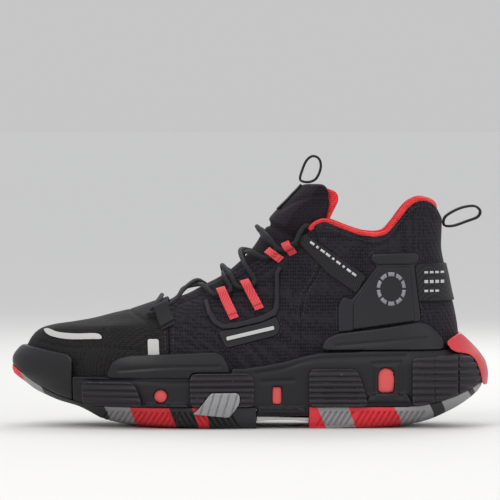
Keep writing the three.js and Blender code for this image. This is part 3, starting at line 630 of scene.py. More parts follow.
# Painted highlight: the midfoot shank is coloured pale where its edge catches the light.
PAINTED_HIGHLIGHT_PLATE = moulded_finish("plate_painted_highlight", linear(200, 198, 196), linear(224, 222, 220), 0.35,
                            0.5)
REFLECTIVE = moulded_finish("reflective", linear(182, 181, 180), linear(212, 212, 210), 0.34,
                            0.42, coat=0.2, grain=500)
PRINT_GREY = moulded_finish("print_grey", linear(122, 121, 126), linear(150, 149, 154), 0.4, 0.55)
PRINT_PALE = moulded_finish("print_pale", linear(178, 177, 178), linear(205, 204, 205), 0.4, 0.55)
WEBBING = weave_finish("webbing", linear(8, 8, 9), linear(38, 36, 39), 330)
WEBBING_RED = weave_finish("webbing_red", linear(178, 34, 44), linear(224, 80, 84), 360, 0.2,
                           0.5)
LACE_BLACK = weave_finish("lace_black", linear(8, 8, 9), linear(38, 36, 40), 420, 0.06, 0.75)
THREAD = weave_finish("thread", linear(34, 32, 35), linear(70, 67, 71), 700, 0.1, 0.6)
BOARD = moulded_finish("board", linear(205, 198, 182), linear(222, 216, 202), 0.8, 0.95)


PATCH_START, PATCH_RUN = -155, 320


def patchwork_rubber():
    """Outsole rubber in moulded patches of red, grey and black along the shoe."""
    made = Finish("rubber_patchwork", linear(214, 46, 56), 0.6)
    split = made.node("ShaderNodeSeparateXYZ", Vector=made.place)
    wobble = made.maths("MULTIPLY", made.maths("SUBTRACT", made.noise(16, 1), 0.5), 0.012)
    slant = made.maths("MULTIPLY", split.outputs["Z"], 0.35)
    across = made.maths("ADD", made.maths("ADD", split.outputs["X"], slant), wobble)
    share = made.maths("DIVIDE", made.maths("SUBTRACT", across, PATCH_START * MM),
                       PATCH_RUN * MM)
    ramp = made.node("ShaderNodeValToRGB", Fac=share)
    ramp.color_ramp.interpolation = "CONSTANT"
    red, grey, black = linear(216, 48, 58), linear(150, 149, 150), linear(36, 35, 38)
    patches = [(-155, red), (-136, grey), (-127, black), (-92, grey), (-76, red), (-48, black),
               (-33, red), (-26, black), (38, red), (49, grey), (70, red), (100, grey),
               (121, black), (130, grey), (149, black), (153, grey)]
    stops = ramp.color_ramp.elements
    stops[0].color = red
    stops[1].color = grey
    for x, colour in patches[1:]:
        stops.new((x - PATCH_START) / PATCH_RUN).color = colour
    made.colour(ramp.outputs["Color"])
    made.roughness(made.noise(70, 3), 0.5, 0.72)
    made.bump(made.noise(2000, 2), 0.04, 0.6)
    return made.material


RUBBER_PATCHES = patchwork_rubber()

# ---- Sole ---------------------------------------------------------------------------------------
WAIST_FRONT, WAIST_BACK = 4, 38
RUBBER_TOP, RUBBER_FLOOR = 14, 5
OUTSOLE_WRAP, CARRIER_WALL, WINDOW_RECESS = 5, 9, 2.2
BUMPER_BACK, WING_BACK, WING_BASE, HEEL_DECK = -115, -13, 33.2, 50.5
FLOOR = [(-150, 37), (-138, 31), (-120, 26), (-95, 22.5), (-60, 20), (-20, 20), (20, 23),
         (60, 26.5), (100, 29), (140, 30.5)]
FORE_RUBBER_TOP = [(-160, 44.5), (-153, 38.5), (-146, 33), (-140, 28.6), (-133, 24.4),
                   (-124, 20.3), (-113, 17), (-106, 15), (-100, RUBBER_TOP)]
HEEL_RUBBER_TOP = [(100, RUBBER_TOP), (112, 15), (122, 17), (134, 21), (143, 25), (150, 29),
                   (160, 36)]
CARRIER_TOP = [(WING_BACK + GAP, WING_BASE), (-11.5, 39), (-3, 39), (8, 40.5), (23, 43.5),
               (36, 47), (46, 48.8), (80, 50), (120, HEEL_DECK), (160, HEEL_DECK)]
CLIP = rounded([(126, 55.5), (136, 61.5), (141, 57), (148, 50), (153, 43), (158, 36),
                (158, 27), (150.5, 27), (149, 36), (146, 43.5), (142, 47.5), (131, 49.5)], 3)
GRIP = rounded([(-37, 10), (-34, 12), (-27, 21), (-25, 23.5), (-8, 23.5), (-6.5, 21),
                (-7, 16), (-13.5, 7.5)], 2)
SADDLE = rounded([(46.5, 50.8), (47, 55), (50, 58.5), (56, 61), (84.5, 64.5), (109, 68.5),
                  (115.5, 67), (120, 62), (124.5, 57.5), (125.5, 51)], 3)
WING = rounded([(-92, 33.5), (-88.5, 42.5), (-84, 45.5), (-77.5, 47), (-22.5, 49),
                (-18, 47.5), (-15, 42), (WING_BACK, 33.5)], 3)
WINDOWS = [
    rounded([(82, 23), (93, 23), (93, 36), (90.5, 39.5), (84.5, 39.5), (82, 36)], 3),
    rounded([(14, 15.5), (20.5, 15.5), (20.5, 27.5), (14, 27.5)], 2),
    [(-57.5 + 4.6 * math.cos(a), 21.5 + 4.6 * math.sin(a))
     for a in np.linspace(0, 2 * math.pi, 28, endpoint=False)],
]
LEDGES = [
    [(75, 17.5), (104, 17.5), (101, 22.6), (77.5, 22.6)],
    [(-68, 14.6), (-39, 14.6), (-41, 16.4), (-68, 16.4)],
    [(4.5, 10.5), (36, 10.5), (35, 13.5), (6, 13.5)],
]
POD_OUTLINES = {
    "forefoot_pod": [(-108.5, 30.5), (-75, 30.5), (-71.5, 23), (-69, 14.4), (-108.5, 14.4)],
    "midfoot_pod": [(-38.5, 36), (0.5, 36), (2.5, 30.5), (2.5, 14.4), (-38.5, 14.4)],
    "heel_front_pod": [(38, 38.5), (69, 38.5), (73, 27.5), (76.5, 14.4), (38, 14.4)],
}
HEEL_POD = [(104.5, 45.5), (133, 48), (160, 49.5), (160, 36.5), (150, 29.4), (143, 25.4),
            (134, 21.4), (122, 17.4), (112, 15.4), (104.5, 14.8)]
HIGH = 175


def floor_line(rise):
    return [(x, z + rise) for x, z in FLOOR]


def above_floor(rise):
    return block(floor_line(rise) + [(165, 31), (165, HIGH), (-165, HIGH), (-165, 37)])


UPPER_HOLLOW = carve(form(GAP), ("&", above_floor(-GAP)))
TREAD_PITCH, TREAD_SLANT, TREAD_DEPTH = 3.6, 6, 1.8
TREAD_LOW, TREAD_HIGH, TREAD_GROOVE = 1.2, 11.5, 1.5


def tread_bars(x0, x1, slant):
    """Slanting bars across the rubber's side wall, to be cut out as grooves."""
    return [[(x, TREAD_LOW), (x + TREAD_GROOVE, TREAD_LOW),
             (x + TREAD_GROOVE + slant, TREAD_HIGH), (x + slant, TREAD_HIGH)]
            for x in np.arange(x0, x1, TREAD_PITCH)]


def make_outsole():
    fore = block(FORE_RUBBER_TOP + [(WAIST_FRONT, RUBBER_TOP), (WAIST_FRONT, -5), (-160, -5)])
    pocket = carve(sole(-OUTSOLE_WRAP), ("&", block([(-103, 13), (-96, 9.5), (-86, 6.5),
        (-76, RUBBER_FLOOR), (WAIST_FRONT - OUTSOLE_WRAP, RUBBER_FLOOR),
        (WAIST_FRONT - OUTSOLE_WRAP, 30), (-103, 30)])))
    core = sole(-TREAD_DEPTH)
    front = carve(sole(0), ("&", fore), ("-", pocket))
    for bar in tread_bars(-98, -50, TREAD_SLANT) + tread_bars(-48, -8, -TREAD_SLANT):
        front = carve(front, ("-", carve(block(bar), ("-", core))))
    front = softened(front, 0.55, 2)
    skin(front, "outsole_forefoot", RUBBER_PATCHES)

    back = block([(WAIST_BACK, -5), (160, -5)] + HEEL_RUBBER_TOP[::-1]
                 + [(WAIST_BACK, RUBBER_TOP)])
    pocket = carve(sole(-OUTSOLE_WRAP), ("&", block([(WAIST_BACK + OUTSOLE_WRAP, RUBBER_FLOOR),
        (98, RUBBER_FLOOR), (112, 8), (124, 12), (132, 16), (132, 30),
        (WAIST_BACK + OUTSOLE_WRAP, 30)])))
    heel = carve(sole(0), ("&", back), ("-", pocket))
    for bar in tread_bars(42, 62, TREAD_SLANT) + tread_bars(66, 108, TREAD_SLANT):
        heel = carve(heel, ("-", carve(block(bar), ("-", core))))
    heel = softened(heel, 0.55, 2)
    skin(heel, "outsole_heel", RUBBER_PATCHES)

    plate = carve(sole(-2), ("&", block([(WAIST_FRONT, 4.6), (14, 5.6), (28, 5.6),
        (WAIST_BACK, 4.2), (WAIST_BACK, 7), (WAIST_FRONT, 8.2)])))
    # The shank's pale colour is a painted highlight along the plate's edge.
    skin(softened(plate, 0.7, 3), "midfoot_shank", PAINTED_HIGHLIGHT_PLATE)


def make_midsole():
    outer = block([(BUMPER_BACK + GAP, 18), (-113, 17.3), (-106, 15.3), (-100, RUBBER_TOP + GAP),
        (WAIST_FRONT, RUBBER_TOP + GAP), (WAIST_FRONT + GAP, 8.3), (WAIST_BACK - GAP, 8.3),
        (WAIST_BACK, RUBBER_TOP + GAP)] + [(x, z + GAP) for x, z in HEEL_RUBBER_TOP]
        + CARRIER_TOP[::-1] + [(BUMPER_BACK + GAP, WING_BASE)])
    core = carve(sole(-CARRIER_WALL), ("&", block(slab(-103, 0, 128, 60))))
    carrier = carve(sole(0), ("&", outer), ("-", core), ("-", UPPER_HOLLOW))
    for ledge in LEDGES:
        shelf = carve(sole(POD_PROUD - 1), ("&", block(rounded(ledge, 1))), ("-", sole(-2)))
        carrier = carve(carrier, ("+", shelf))
    for window in WINDOWS:
        carrier = carve(carrier, ("-", block(window)))
    carrier = softened(carrier, 0.7, 4)
    groove(carrier, spline([(-112, 31), (-75, 31.5), (-45, 30), (-10, 33)]), 0.8, 1.2)
    groove(carrier, spline([(4, 36), (20, 38.5), (34, 43), (50, 45.5), (100, 47)]), 0.8, 1.2)
    groove(carrier, [(79, 21), (79, 42), (97, 43), (97, 21)], 0.9, 1.3)
    groove(carrier, [(8, 30.5), (28, 31.5)], 0.8, 1.2)
    groove(carrier, [(8, 12), (30, 12)], 0.8, 1.2)
    skin(carrier, "midsole_carrier", FOAM_BLACK)

    filling = carve(sole(-CARRIER_WALL - GAP), ("&", block([(-102.5, 14.5), (-94, 10.5),
        (-86, 7.2), (-76, 5.3), (-1.3, 5.3), (-1, 14.3), (43, 14.3), (43.3, 5.3), (98, 5.3),
        (112, 8.3), (124, 12.3), (127.5, 15), (127.5, 60), (-102.5, 60)])),
        ("-", UPPER_HOLLOW), ("&", block([(-165, 0), (165, 0)] + floor_line(-GAP)[::-1])))
    for window in WINDOWS:
        plug = carve(sole(-WINDOW_RECESS), ("&", block(grown(window, -GAP / 2))), ("-", UPPER_HOLLOW))
        filling = carve(filling, ("+", plug))
    skin(softened(filling, 0.8, 5), "midsole_core", FOAM_RED)

    bumper = block([(x, z + GAP) for x, z in FORE_RUBBER_TOP[:7]] + [(BUMPER_BACK, 18),
        (BUMPER_BACK, 45), (-117.5, 47.5), (-145.5, 52.5), (-160, 54)])
    bumper = softened(carve(sole(0), ("&", bumper), ("-", UPPER_HOLLOW)), 0.8, 8)
    skin(bumper, "toe_bumper", PLASTIC_BLACK)

    base = carve(sole(GAP), ("&", block(slab(90, 0, 165, HEEL_DECK + GAP))))
    clip = carve(sole(POD_PROUD), ("&", block(CLIP)), ("-", base), ("-", form(GAP)))
    skin(softened(clip, 0.55, 5), "heel_clip", PLASTIC_RED)


def make_pods():
    grip_gap = block(grown(GRIP, GAP))
    clip_gap = block(grown(CLIP, GAP))
    shell = sole(GAP)
    for name, outline in POD_OUTLINES.items():
        heights = [z for _, z in outline]
        ribs = ribbed_sole(min(heights), max(heights), RIB_PITCH, POD_PROUD)
        for side, sign in SIDES:
            cuts = [("&", block(rounded(outline, 4), sign)), ("-", shell)]
            if name == "midfoot_pod":
                cuts.append(("-", grip_gap))
            pod = softened(carve(ribs, *cuts), 0.5, 3)
            skin(pod, f"{name}_{side}", FOAM_DEEP)
    heights = [z for _, z in HEEL_POD]
    ribs = ribbed_sole(min(heights), max(heights), HEEL_RIB_PITCH, POD_PROUD)
    for side, sign in SIDES:
        pod = carve(ribs, ("&", block(rounded(HEEL_POD, 3), sign)), ("-", shell),
                    ("-", clip_gap))
        for x in (118.5, 134):
            split = block([(x, 10), (x + 1.3, 10), (x + 1.3, 52), (x, 52)])
            pod = carve(pod, ("-", carve(split, ("-", sole(POD_PROUD - RIB_DEPTH)))))
        skin(softened(pod, 0.55, 3), f"heel_rear_pod_{side}", FOAM_DEEP)
    podding = block(grown(rounded(POD_OUTLINES["midfoot_pod"], 4), GAP))
    for side, sign in SIDES:
        grip = carve(sole(POD_PROUD + 0.8), ("&", block(GRIP, sign)), ("-", shell))
        for x in range(-34, -8, 5):
            cut = block([(x, 5), (x + 1.2, 5), (x + 7.5, 26), (x + 6.3, 26)])
            grip = carve(grip, ("-", carve(cut, ("-", sole(POD_PROUD - 0.4)))))
        skin(softened(grip, 0.4, 2), f"grip_pad_{side}", RUBBER_GREY)
        wing = carve(sole(1.2), ("&", block(grown(WING, 0.5), sign)), ("-", form(GAP)),
                     ("-", podding))
        wing = softened(wing, 0.6, 6)
        groove(wing, spline([(-84, 38), (-55, 40), (-20, 40.5)]), 0.7, 1.0)
        skin(wing, f"forefoot_wing_{side}", PLASTIC_BLACK)
        saddle = carve(sole(1), ("&", block(SADDLE, sign)), ("-", form(GAP)))
        saddle = softened(saddle, 0.6, 6)
        groove(saddle, spline([(55, 53.5), (85, 56), (114, 58.5)]), 0.6, 0.9)
        skin(saddle, f"heel_saddle_{side}", PLATE_BLACK)


# ---- Upper --------------------------------------------------------------------------------------
THROAT = [(-55, 92), (-52, 85), (-49, 83.2), (-44, 84.5), (-29, 91), (0, 105), (14, 112.5),
          (27, 120), (33, 124)]
COLLAR = [(33, 124), (37, 126.5), (42, 131), (49, 133), (58.5, 129.5), (66.5, 126.5),
          (74, 124.5), (82, 124), (88, 126), (93.5, 132), (101.5, 142), (106, 145.5), (111, 147),
          (116, 146), (120.5, 142.5), (124.5, 135), (126, 129)]
COLLAR_RIM = [(38.4, 127.2), (41, 130.2), (45, 132.6), (49, 133)] + COLLAR[4:15]
SEAM_LAP, COLLAR_SPLIT = 0.6, 41
COLLAR_FOAM, COLLAR_ROLL, PIPING_RADIUS = 5.2, 2.4, 1.75
INSOLE_REST, INSOLE_THICKNESS = 1.9, 4.5
SIDE_SEAM = [(33, 10), (32.5, 73), (35, 86), (43.5, 100.5), (45, 112), (41, 130.1)]


def piping(turn, place):
    """The radius of the collar's piping, which swells a little along its run."""
    return PIPING_RADIUS + 0.08 * math.sin(place * 0.31)


def make_upper():
    shell = carve(form(0), ("-", form(-UPPER_WALL)), ("&", above_floor(0)))
    vamp = carve(shell, ("&", block([(-165, 0), (-52, 0), (-52.3, 63), (-54.5, 120),
                                     (-165, 120)])))
    vamp = softened(vamp, 0.8, 5)
    for _, side in SIDES:
        groove(vamp, spline([(-60, 50), (-63, 62), (-68, 70), (-78, 75)]), 0.7, 1.1, side)
        groove(vamp, spline([(-112, 40), (-104, 50), (-96, 60), (-90, 70)]), 0.5, 1.4, side)
        groove(vamp, spline([(-136, 55), (-118, 52), (-90, 52), (-66, 50)]), 0.6, 1.2, side)
    ripple(vamp, 0.16, 26, 3)
    skin(vamp, "vamp", KNIT_BLACK)

    throat = [tuple(p) for p in spline(THROAT[2:], 5)]
    collar = [tuple(p) for p in spline(COLLAR, 5)]
    split = min(range(len(collar)), key=lambda i: abs(collar[i][0] - COLLAR_SPLIT))
    seam = [tuple(p) for p in spline(SIDE_SEAM[1:-1] + [collar[split]], 5)]
    middle = ([(-51.7, 0), (-52, 63), (-52.4, 81)] + throat + collar[1:split]
              + [(x + SEAM_LAP, z) for x, z in seam[::-1][1:]] + [(32.7, 10)])
    heel = [(33, 10)] + seam[:-1] + collar[split:] + [(165, 129), (165, 0)]
    for side, sign in SIDES:
        quarter = softened(carve(shell, ("&", block(middle, sign))), 0.8, 5)
        groove(quarter, spline([(-34, 52), (-36, 66), (-38, 82)]), 0.6, 1.2)
        groove(quarter, spline([(28, 56), (26, 75), (30, 95), (33, 112)]), 0.6, 1.2)
        groove(quarter, spline([(-46, 80), (-29, 87), (0, 101), (26, 116)]), 0.5, 1.0)
        ripple(quarter, 0.18, 24, 5)
        skin(quarter, f"midfoot_quarter_{side}", QUARTER_KNIT)
        back = softened(carve(shell, ("&", block(heel, sign, 0.05))), 0.8, 5)
        groove(back, spline([(42, 125), (56, 123.5), (74, 118.5), (88, 119.5), (98, 131),
                             (108, 138), (118, 135)]), 0.7, 1.4)
        ripple(back, 0.2, 22, 9)
        skin(back, f"heel_quarter_{side}", QUARTER_KNIT)

    inside = UPPER_WALL + GAP
    top = [(x, z + COLLAR_ROLL) for x, z in spline(COLLAR[4:-1], 5)]
    lining = block([(58, 78), (58, 131.5)] + top + [(128, 137), (165, 132), (165, 78)])
    lining = carve(form(-inside), ("-", form(-inside - COLLAR_FOAM)), ("&", lining))
    lining = softened(lining, 0.8, 12)
    ripple(lining, 0.25, 18, 11)
    finish_piece(lining, "collar_padding", LINING_RED, ["collar_lining"])

    for side, sign in SIDES:
        edge = [on_form(x, z + 0.5, sign, -UPPER_WALL / 2 - 0.4) for x, z in COLLAR_RIM]
        path = centripetal(edge, 0.8 * COARSE)
        rim = on_bench("rim", *tube_mesh(path, piping, 14))
        finish_piece(rim, f"collar_piping_{side}", LINING_RED)

    bed = block(floor_line(INSOLE_REST) + floor_line(INSOLE_REST + INSOLE_THICKNESS)[::-1])
    insole = carve(form(-inside), ("&", bed))
    insole = softened(insole, 1.0, 4)
    skin(insole, "insole", INSOLE_CLOTH)
    for node in ("strobel_board", "toe_puff", "heel_counter"):
        hidden = frame["nodes"][node]
        hidden.data.materials.clear()
        hidden.data.materials.append(BOARD)


# ---- Tongue -------------------------------------------------------------------------------------
HINGE = (8, 136)
FOLD_SLOPE = -0.5
GUSSET_OFFSET, PAD_OFFSET, TONGUE_WALL, TONGUE_LINING = 4, 2.2, 7, 2
TONGUE_SIDES = (-23, 20)
TONGUE_BACK = [(-58, 74), (-45, 76), (-10, 86), (20, 98), (44, 116)]
TONGUE_TOP = [(49.5, 136), (51.5, 147), (51.5, 152), (48.5, 157), (34, 157), (24, 152)]


def fold_at(x):
    return HINGE[1] + FOLD_SLOPE * (x - HINGE[0])


def blended(thing):
    """Bakes the piece's placement into its mesh."""
    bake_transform(thing)


def make_tongue():
    near, far = TONGUE_SIDES
    strip = on_bench("strip", *box_mesh((-200, near, 0), (200, far, 200)))
    outline = TONGUE_BACK + TONGUE_TOP + [(-30, 158), (-58, 100)]
    shape = block(rounded(outline, 3))
    above_fold = block([(-30, fold_at(-30)), (90, fold_at(90)), (90, 170), (-30, 170)])
    pad = carve(form(-PAD_OFFSET), ("&", above_fold))
    body = carve(form(-GUSSET_OFFSET), ("+", pad))
    tongue = carve(body, ("-", form(-PAD_OFFSET - TONGUE_WALL)), ("&", strip), ("&", shape))
    tongue = softened(tongue, 0.8, 14)
    groove(tongue, [(-20, fold_at(-20) - 3), (60, fold_at(60) - 3)], 1.4, 1.6)
    groove(tongue, spline([(20, 141), (34, 148), (52, 149)]), 0.9, 1.6)
    ripple(tongue, 0.25, 20, 21)
    finish_piece(tongue, "tongue_skin", TONGUE_KNIT, ["tongue_gusset", "tongue_pad"], None)
    blended(tongue)
    face = PAD_OFFSET + TONGUE_WALL + GAP
    upper = rounded([(30, 106), (46, 117), (52, 136), (57.5, 147), (56.5, 152), (50, 154.5),
                     (34, 153.5), (24, 150), (-5, 147), (-5, 120)], 2)
    lining = carve(form(-face), ("-", form(-face - TONGUE_LINING)), ("&", strip), ("&", block(upper)))
    lining = softened(lining, 0.7, 6)
    skin(lining, "tongue_lining", LINING_RED, None)
    blended(lining)


def make_tongue_strip():
    """The webbing that is sewn up the front of the tongue and carries its pull loop."""
    rows = []
    for z in np.linspace(140, 156, 15):
        slices = FormSlices(np.asarray(z + 2.0), -PAD_OFFSET + 0.5)
        rows.append([(float(slices.front) + 0.012 * y * y, y, float(slices.height))
                     for y in np.linspace(-7.2, 7.2, 7)])
    strip = ribbon(rows, 1.0, "strip")
    finish_piece(strip, "tongue_strip", WEBBING, [], "tongue")


def box_mesh(low, high):
    x, y, z = zip(low, high)
    corners = [(a, b, c) for c in z for b in y for a in x]
    faces = [(0, 2, 3, 1), (4, 5, 7, 6), (0, 1, 5, 4), (1, 3, 7, 5), (3, 2, 6, 7), (2, 0, 4, 6)]
    return corners, faces


# ---- Overlays -----------------------------------------------------------------------------------
LACE_FRAME = [(-30, 82.5), (-27.5, 74), (-23.5, 67.5), (-18, 64.5), (-9.5, 65), (8, 69),
    (16.5, 73), (18.5, 77.5), (18.5, 99.5), (20.5, 103.5), (18.3, 104.5), (16, 100.5),
    (16, 82.5), (14.5, 76.5), (8, 73), (-6, 69), (-16.5, 67.5), (-21, 70), (-25, 76),
    (-27.5, 83.5)]
PATCH = rounded([(-20.5, 62.6), (-17.5, 63.2), (-9.5, 64.3), (8, 68.3), (17, 72.2),
                 (19.5, 64.5), (17, 60), (-15.5, 52)], 2)
BAR = rounded([(-15, 56.8), (15.7, 63.8), (15.2, 66.2), (-15.5, 59.2)], 0.8)
COUNTER = rounded([(78, 112.5), (108.5, 113.5), (109, 107.5), (106, 105), (110, 69.3),
    (84.5, 65.5), (57, 62), (57, 79.5), (60.5, 85), (65.5, 82.5), (82, 104.5), (77.5, 107.5)],
    2.2)
COUNTER_PANEL = rounded([(83, 103.5), (103, 104), (106, 69.6), (84.5, 66.5), (66.5, 64),
                         (66.5, 80.5)], 1.5)
COUNTER_CAP = rounded([(78.6, 112), (108, 113), (108.2, 108.4), (105, 106.2), (82, 105.8),
                       (78.2, 108)], 1.5)
STRAP = [(35, 125.5), (75, 98), (68.5, 87), (50, 100), (31, 120)]
HEEL_STRAP = [(105.5, 106), (150, 106), (150, 82), (108, 82)]
STRIPE = spline([(-134, 62.4), (-129.6, 59), (-118.2, 57.1), (-103, 57.5), (-95.9, 57.9),
    (-98.7, 61.2), (-112.5, 60.9), (-124, 61.5), (-129.6, 63.2), (-132.4, 63.6)], 5, closed=True)
TAB = rounded([(-66, 58), (-58.8, 58), (-58.2, 44.5), (-65.5, 44.5)], 1.5)


def make_overlays():
    counter_gap = block(grown(COUNTER, GAP))
    saddle_gap = block(grown(SADDLE, GAP))
    base = form(GAP)

    def overlay(name, node, outline, height, side, material, voxel, passes, cuts=()):
        piece = carve(form(height), ("&", block(outline, side)), ("-", base), *cuts)
        finish_piece(softened(piece, voxel, passes), name, material, [node])

    for side, sign in SIDES:
        overlay(f"lace_frame_{side}_skin", f"lace_frame_{side}", LACE_FRAME, 2.2, sign,
                PLATE_BLACK, 0.4, 4)
        overlay(f"side_patch_{side}_skin", f"side_patch_{side}", PATCH, 1.5, sign, PLATE_BLACK,
                0.35, 2)
        bar = carve(form(2.6), ("&", block(BAR, sign)), ("-", form(1.8)))
        skin(softened(bar, 0.25, 2), f"patch_bar_{side}", REFLECTIVE)
        plate = carve(form(1.7), ("&", block(COUNTER, sign)), ("-", base), ("-", saddle_gap))
        for outline, height in ((COUNTER_PANEL, 2.8), (COUNTER_CAP, 2.6)):
            raised = carve(form(height), ("&", block(outline, sign)), ("-", form(1)),
                           ("-", saddle_gap))
            plate = carve(plate, ("+", raised))
        plate = softened(plate, 0.42, 3)
        skin(plate, f"counter_plate_{side}", PLATE_BLACK)
        overlay(f"ankle_strap_{side}_skin", f"ankle_strap_{side}", rounded(STRAP, 1.5), 1.5,
                sign, WEBBING, 0.35, 2, [("-", counter_gap)])
    strap = carve(form(1.5), ("&", block(rounded(HEEL_STRAP, 1))), ("-", base),
                  ("-", counter_gap))
    skin(softened(strap, 0.45, 2), "heel_strap", WEBBING)
    overlay("toe_stripe_skin", "toe_stripe_lateral", STRIPE, 1.0, LATERAL, REFLECTIVE, 0.25, 2)
    overlay("toe_tab_skin", "toe_tab_lateral", TAB, 1.0, LATERAL, REFLECTIVE, 0.25, 2,
            [("-", block(grown(WING, GAP)))])


# ---- Lacing -------------------------------------------------------------------------------------
LACE_RADIUS = 1.4
FOLD_OUTER = LACE_RADIUS + 1.3 + 0.9
FOLD_LIFT = FOLD_OUTER + GAP + 0.1
LACE_ROWS = [
    ((-62, 72), (-51, 77), (4, -9), WEBBING),
    ((-21, 84.5), (-14, 87), (7.3, -15), WEBBING_RED),
    ((-5.5, 90.5), (1.5, 93), (8, -15), WEBBING_RED),
    ((12.5, 110), (17, 114.5), (5.5, -4), WEBBING_RED),
    ((22, 115.5), (28, 118.5), (3, -5), PLASTIC_RED),
]
CROSSINGS = [93.5, 103.5, 113.5, 129]
UNDER_LIFT = LACE_RADIUS + 0.7 - GUSSET_OFFSET
OVER_LIFT = UNDER_LIFT + 2 * LACE_RADIUS + GAP / 2
EDGE_LIFT = LACE_RADIUS + 6 * GAP
FOLD_LEAD = 0.25
LACE_TAIL = [(31, 122, 3.6), (32.6, 126, 3), (34.8, 129.6, 1), (36.4, 130.8, -2.2),
             (37.8, 130, -5.2), (39.8, 126.4, -5.8), (42, 120, -5.6), (44, 113, -5.6),
             (45, 106, -5.6)]


def over_tongue(z, lift):
    slices = FormSlices(np.asarray(z, float), lift)
    return np.array([float(slices.front), 0, float(slices.height)])


def beside_tongue(start, crossing, side, share):
    top = (float(form_front(crossing)), crossing)
    x = start[0] + (top[0] - start[0]) * share
    z = start[1] + (top[1] - start[1]) * share
    return on_form(x, z, side, EDGE_LIFT)


def lace_route():
    """The same route as the CAD lace: a zigzag up both sides from the lowest row."""
    def half(side):
        points = []
        for k, (front, back, *_rest) in enumerate(LACE_ROWS):
            a, b = on_form(*front, side, FOLD_LIFT), on_form(*back, side, FOLD_LIFT)
            points += [a + (b - a) * -FOLD_LEAD, a + (b - a) * (1 + FOLD_LEAD)]
            if k < len(CROSSINGS):
                over = (side == LATERAL) == (k % 2 == 0)
                points.append(beside_tongue(back, CROSSINGS[k], side, 0.55))
                points.append(over_tongue(CROSSINGS[k], OVER_LIFT if over else UNDER_LIFT))
                points.append(beside_tongue(LACE_ROWS[k + 1][0], CROSSINGS[k], -side, 0.55))
            side = -side
        points += [on_form(x, z, -side, lift) for x, z, lift in LACE_TAIL]
        return points

    low = LACE_ROWS[0][0]
    sill = [beside_tongue(low, 83, LATERAL, 0.55), over_tongue(83, OVER_LIFT + 1),
            beside_tongue(low, 83, MEDIAL, 0.55)]
    return half(LATERAL)[::-1] + sill + half(MEDIAL)


def tube_mesh(path, radius_at, sides, closed=False, squash=1.0):
    """A tube along a path. radius_at gives the radius from the turn and the place along it."""
    path = np.array(path)
    count = len(path)
    along = np.roll(path, -1, 0) - np.roll(path, 1, 0)
    if not closed:
        along[0], along[-1] = path[1] - path[0], path[-1] - path[-2]
    along /= np.linalg.norm(along, axis=1)[:, None]
    up = np.cross(along[0], (0.3, 0.1, 1.0))
    corners = []
    for i in range(count):
        up = up - along[i] * (up @ along[i])
        up /= np.linalg.norm(up)
        out = np.cross(along[i], up)
        for j in range(sides):
            turn = 2 * math.pi * j / sides
            reach = radius_at(turn, i)
            corners.append(path[i] + (up * math.cos(turn) * squash + out * math.sin(turn)) * reach)
    faces = []
    for i in range(count if closed else count - 1):
        n = (i + 1) % count
        for j in range(sides):
            m = (j + 1) % sides
            faces.append((i * sides + j, i * sides + m, n * sides + m, n * sides + j))
    if not closed:
        faces.append(tuple(reversed(range(sides))))
        faces.append(tuple((count - 1) * sides + j for j in range(sides)))
    return corners, faces


def braid(turn, place):
    """The small lift of a braided surface, with strands going round both ways."""
    return LACE_RADIUS * (1 + 0.045 * math.cos(4 * turn + place * 0.9)
                          * math.cos(4 * turn - place * 0.9))


def centripetal(points, spacing):
    """A smooth even path through points that are close together in places."""
    path = spline(points, 12)
    along = np.concatenate([[0], np.cumsum(np.linalg.norm(np.diff(path, axis=0), axis=1))])
    steps = np.linspace(0, along[-1], int(along[-1] / spacing))
    return np.stack([np.interp(steps, along, path[:, k]) for k in range(3)], 1)


def strap_path(front, back, tail, side, w):
    """A webbing strap's run at one place across its width: up the form, round the lace, down."""
    fold = np.array(front) + (np.array(back) - np.array(front)) * w
    foot = on_form(*fold, side, 0)
    centre = on_form(*fold, side, FOLD_LIFT)
    normal = (centre - foot) / FOLD_LIFT
    a = on_form(*(fold + np.array(tail) * 0.5), side, 0)
    down = a - foot
    down -= normal * (down @ normal)
    down /= np.linalg.norm(down)
    run = [on_form(*(fold + np.array(tail) * t), side, 0.9) for t in np.linspace(1, 0.12, 7)]
    radius = FOLD_OUTER - 0.6
    for turn in np.linspace(-90, 150, 13):
        angle = math.radians(turn)
        run.append(centre + radius * (-down * math.cos(angle) + normal * math.sin(angle)))
    run += [on_form(*(fold + np.array(tail) * t), side, 2.1) for t in np.linspace(0.5, 0.8, 3)]
    return run


def ribbon(rows, thickness, name, bevel=0.25):
    """A thick strap through a grid of points, with rounded edges."""
    rows = np.array(rows)
    count, width = rows.shape[:2]
    faces = [(i * width + j, i * width + j + 1, (i + 1) * width + j + 1, (i + 1) * width + j)
             for i in range(count - 1) for j in range(width - 1)]
    thing = on_bench(name, rows.reshape(-1, 3), faces)
    solid = thing.modifiers.new("thick", "SOLIDIFY")
    solid.thickness = thickness * MM
    solid.offset = 0
    round_edge = thing.modifiers.new("edge", "BEVEL")
    round_edge.width = bevel * MM
    round_edge.segments = 2
    round_edge.limit_method = "ANGLE"
    round_edge.angle_limit = math.radians(50)
    fine = thing.modifiers.new("fine", "SUBSURF")
    fine.levels = 1
    fine.render_levels = 1
    return baked(thing)


def make_lacing():
    path = centripetal(lace_route(), 0.55 * COARSE)
    lace = on_bench("lace", *tube_mesh(path, braid, 16))
    finish_piece(lace, "lace_cord", LACE_BLACK, ["lace"])
    for k, (front, back, tail, material) in enumerate(LACE_ROWS):
        for side, sign in SIDES:
            columns = [strap_path(front, back, tail, sign, w) for w in np.linspace(0.1, 0.9, 5)]
            strap = ribbon(columns, 0.9, "loop")
            skin(strap, f"lace_loop_{side}_{k}", material)


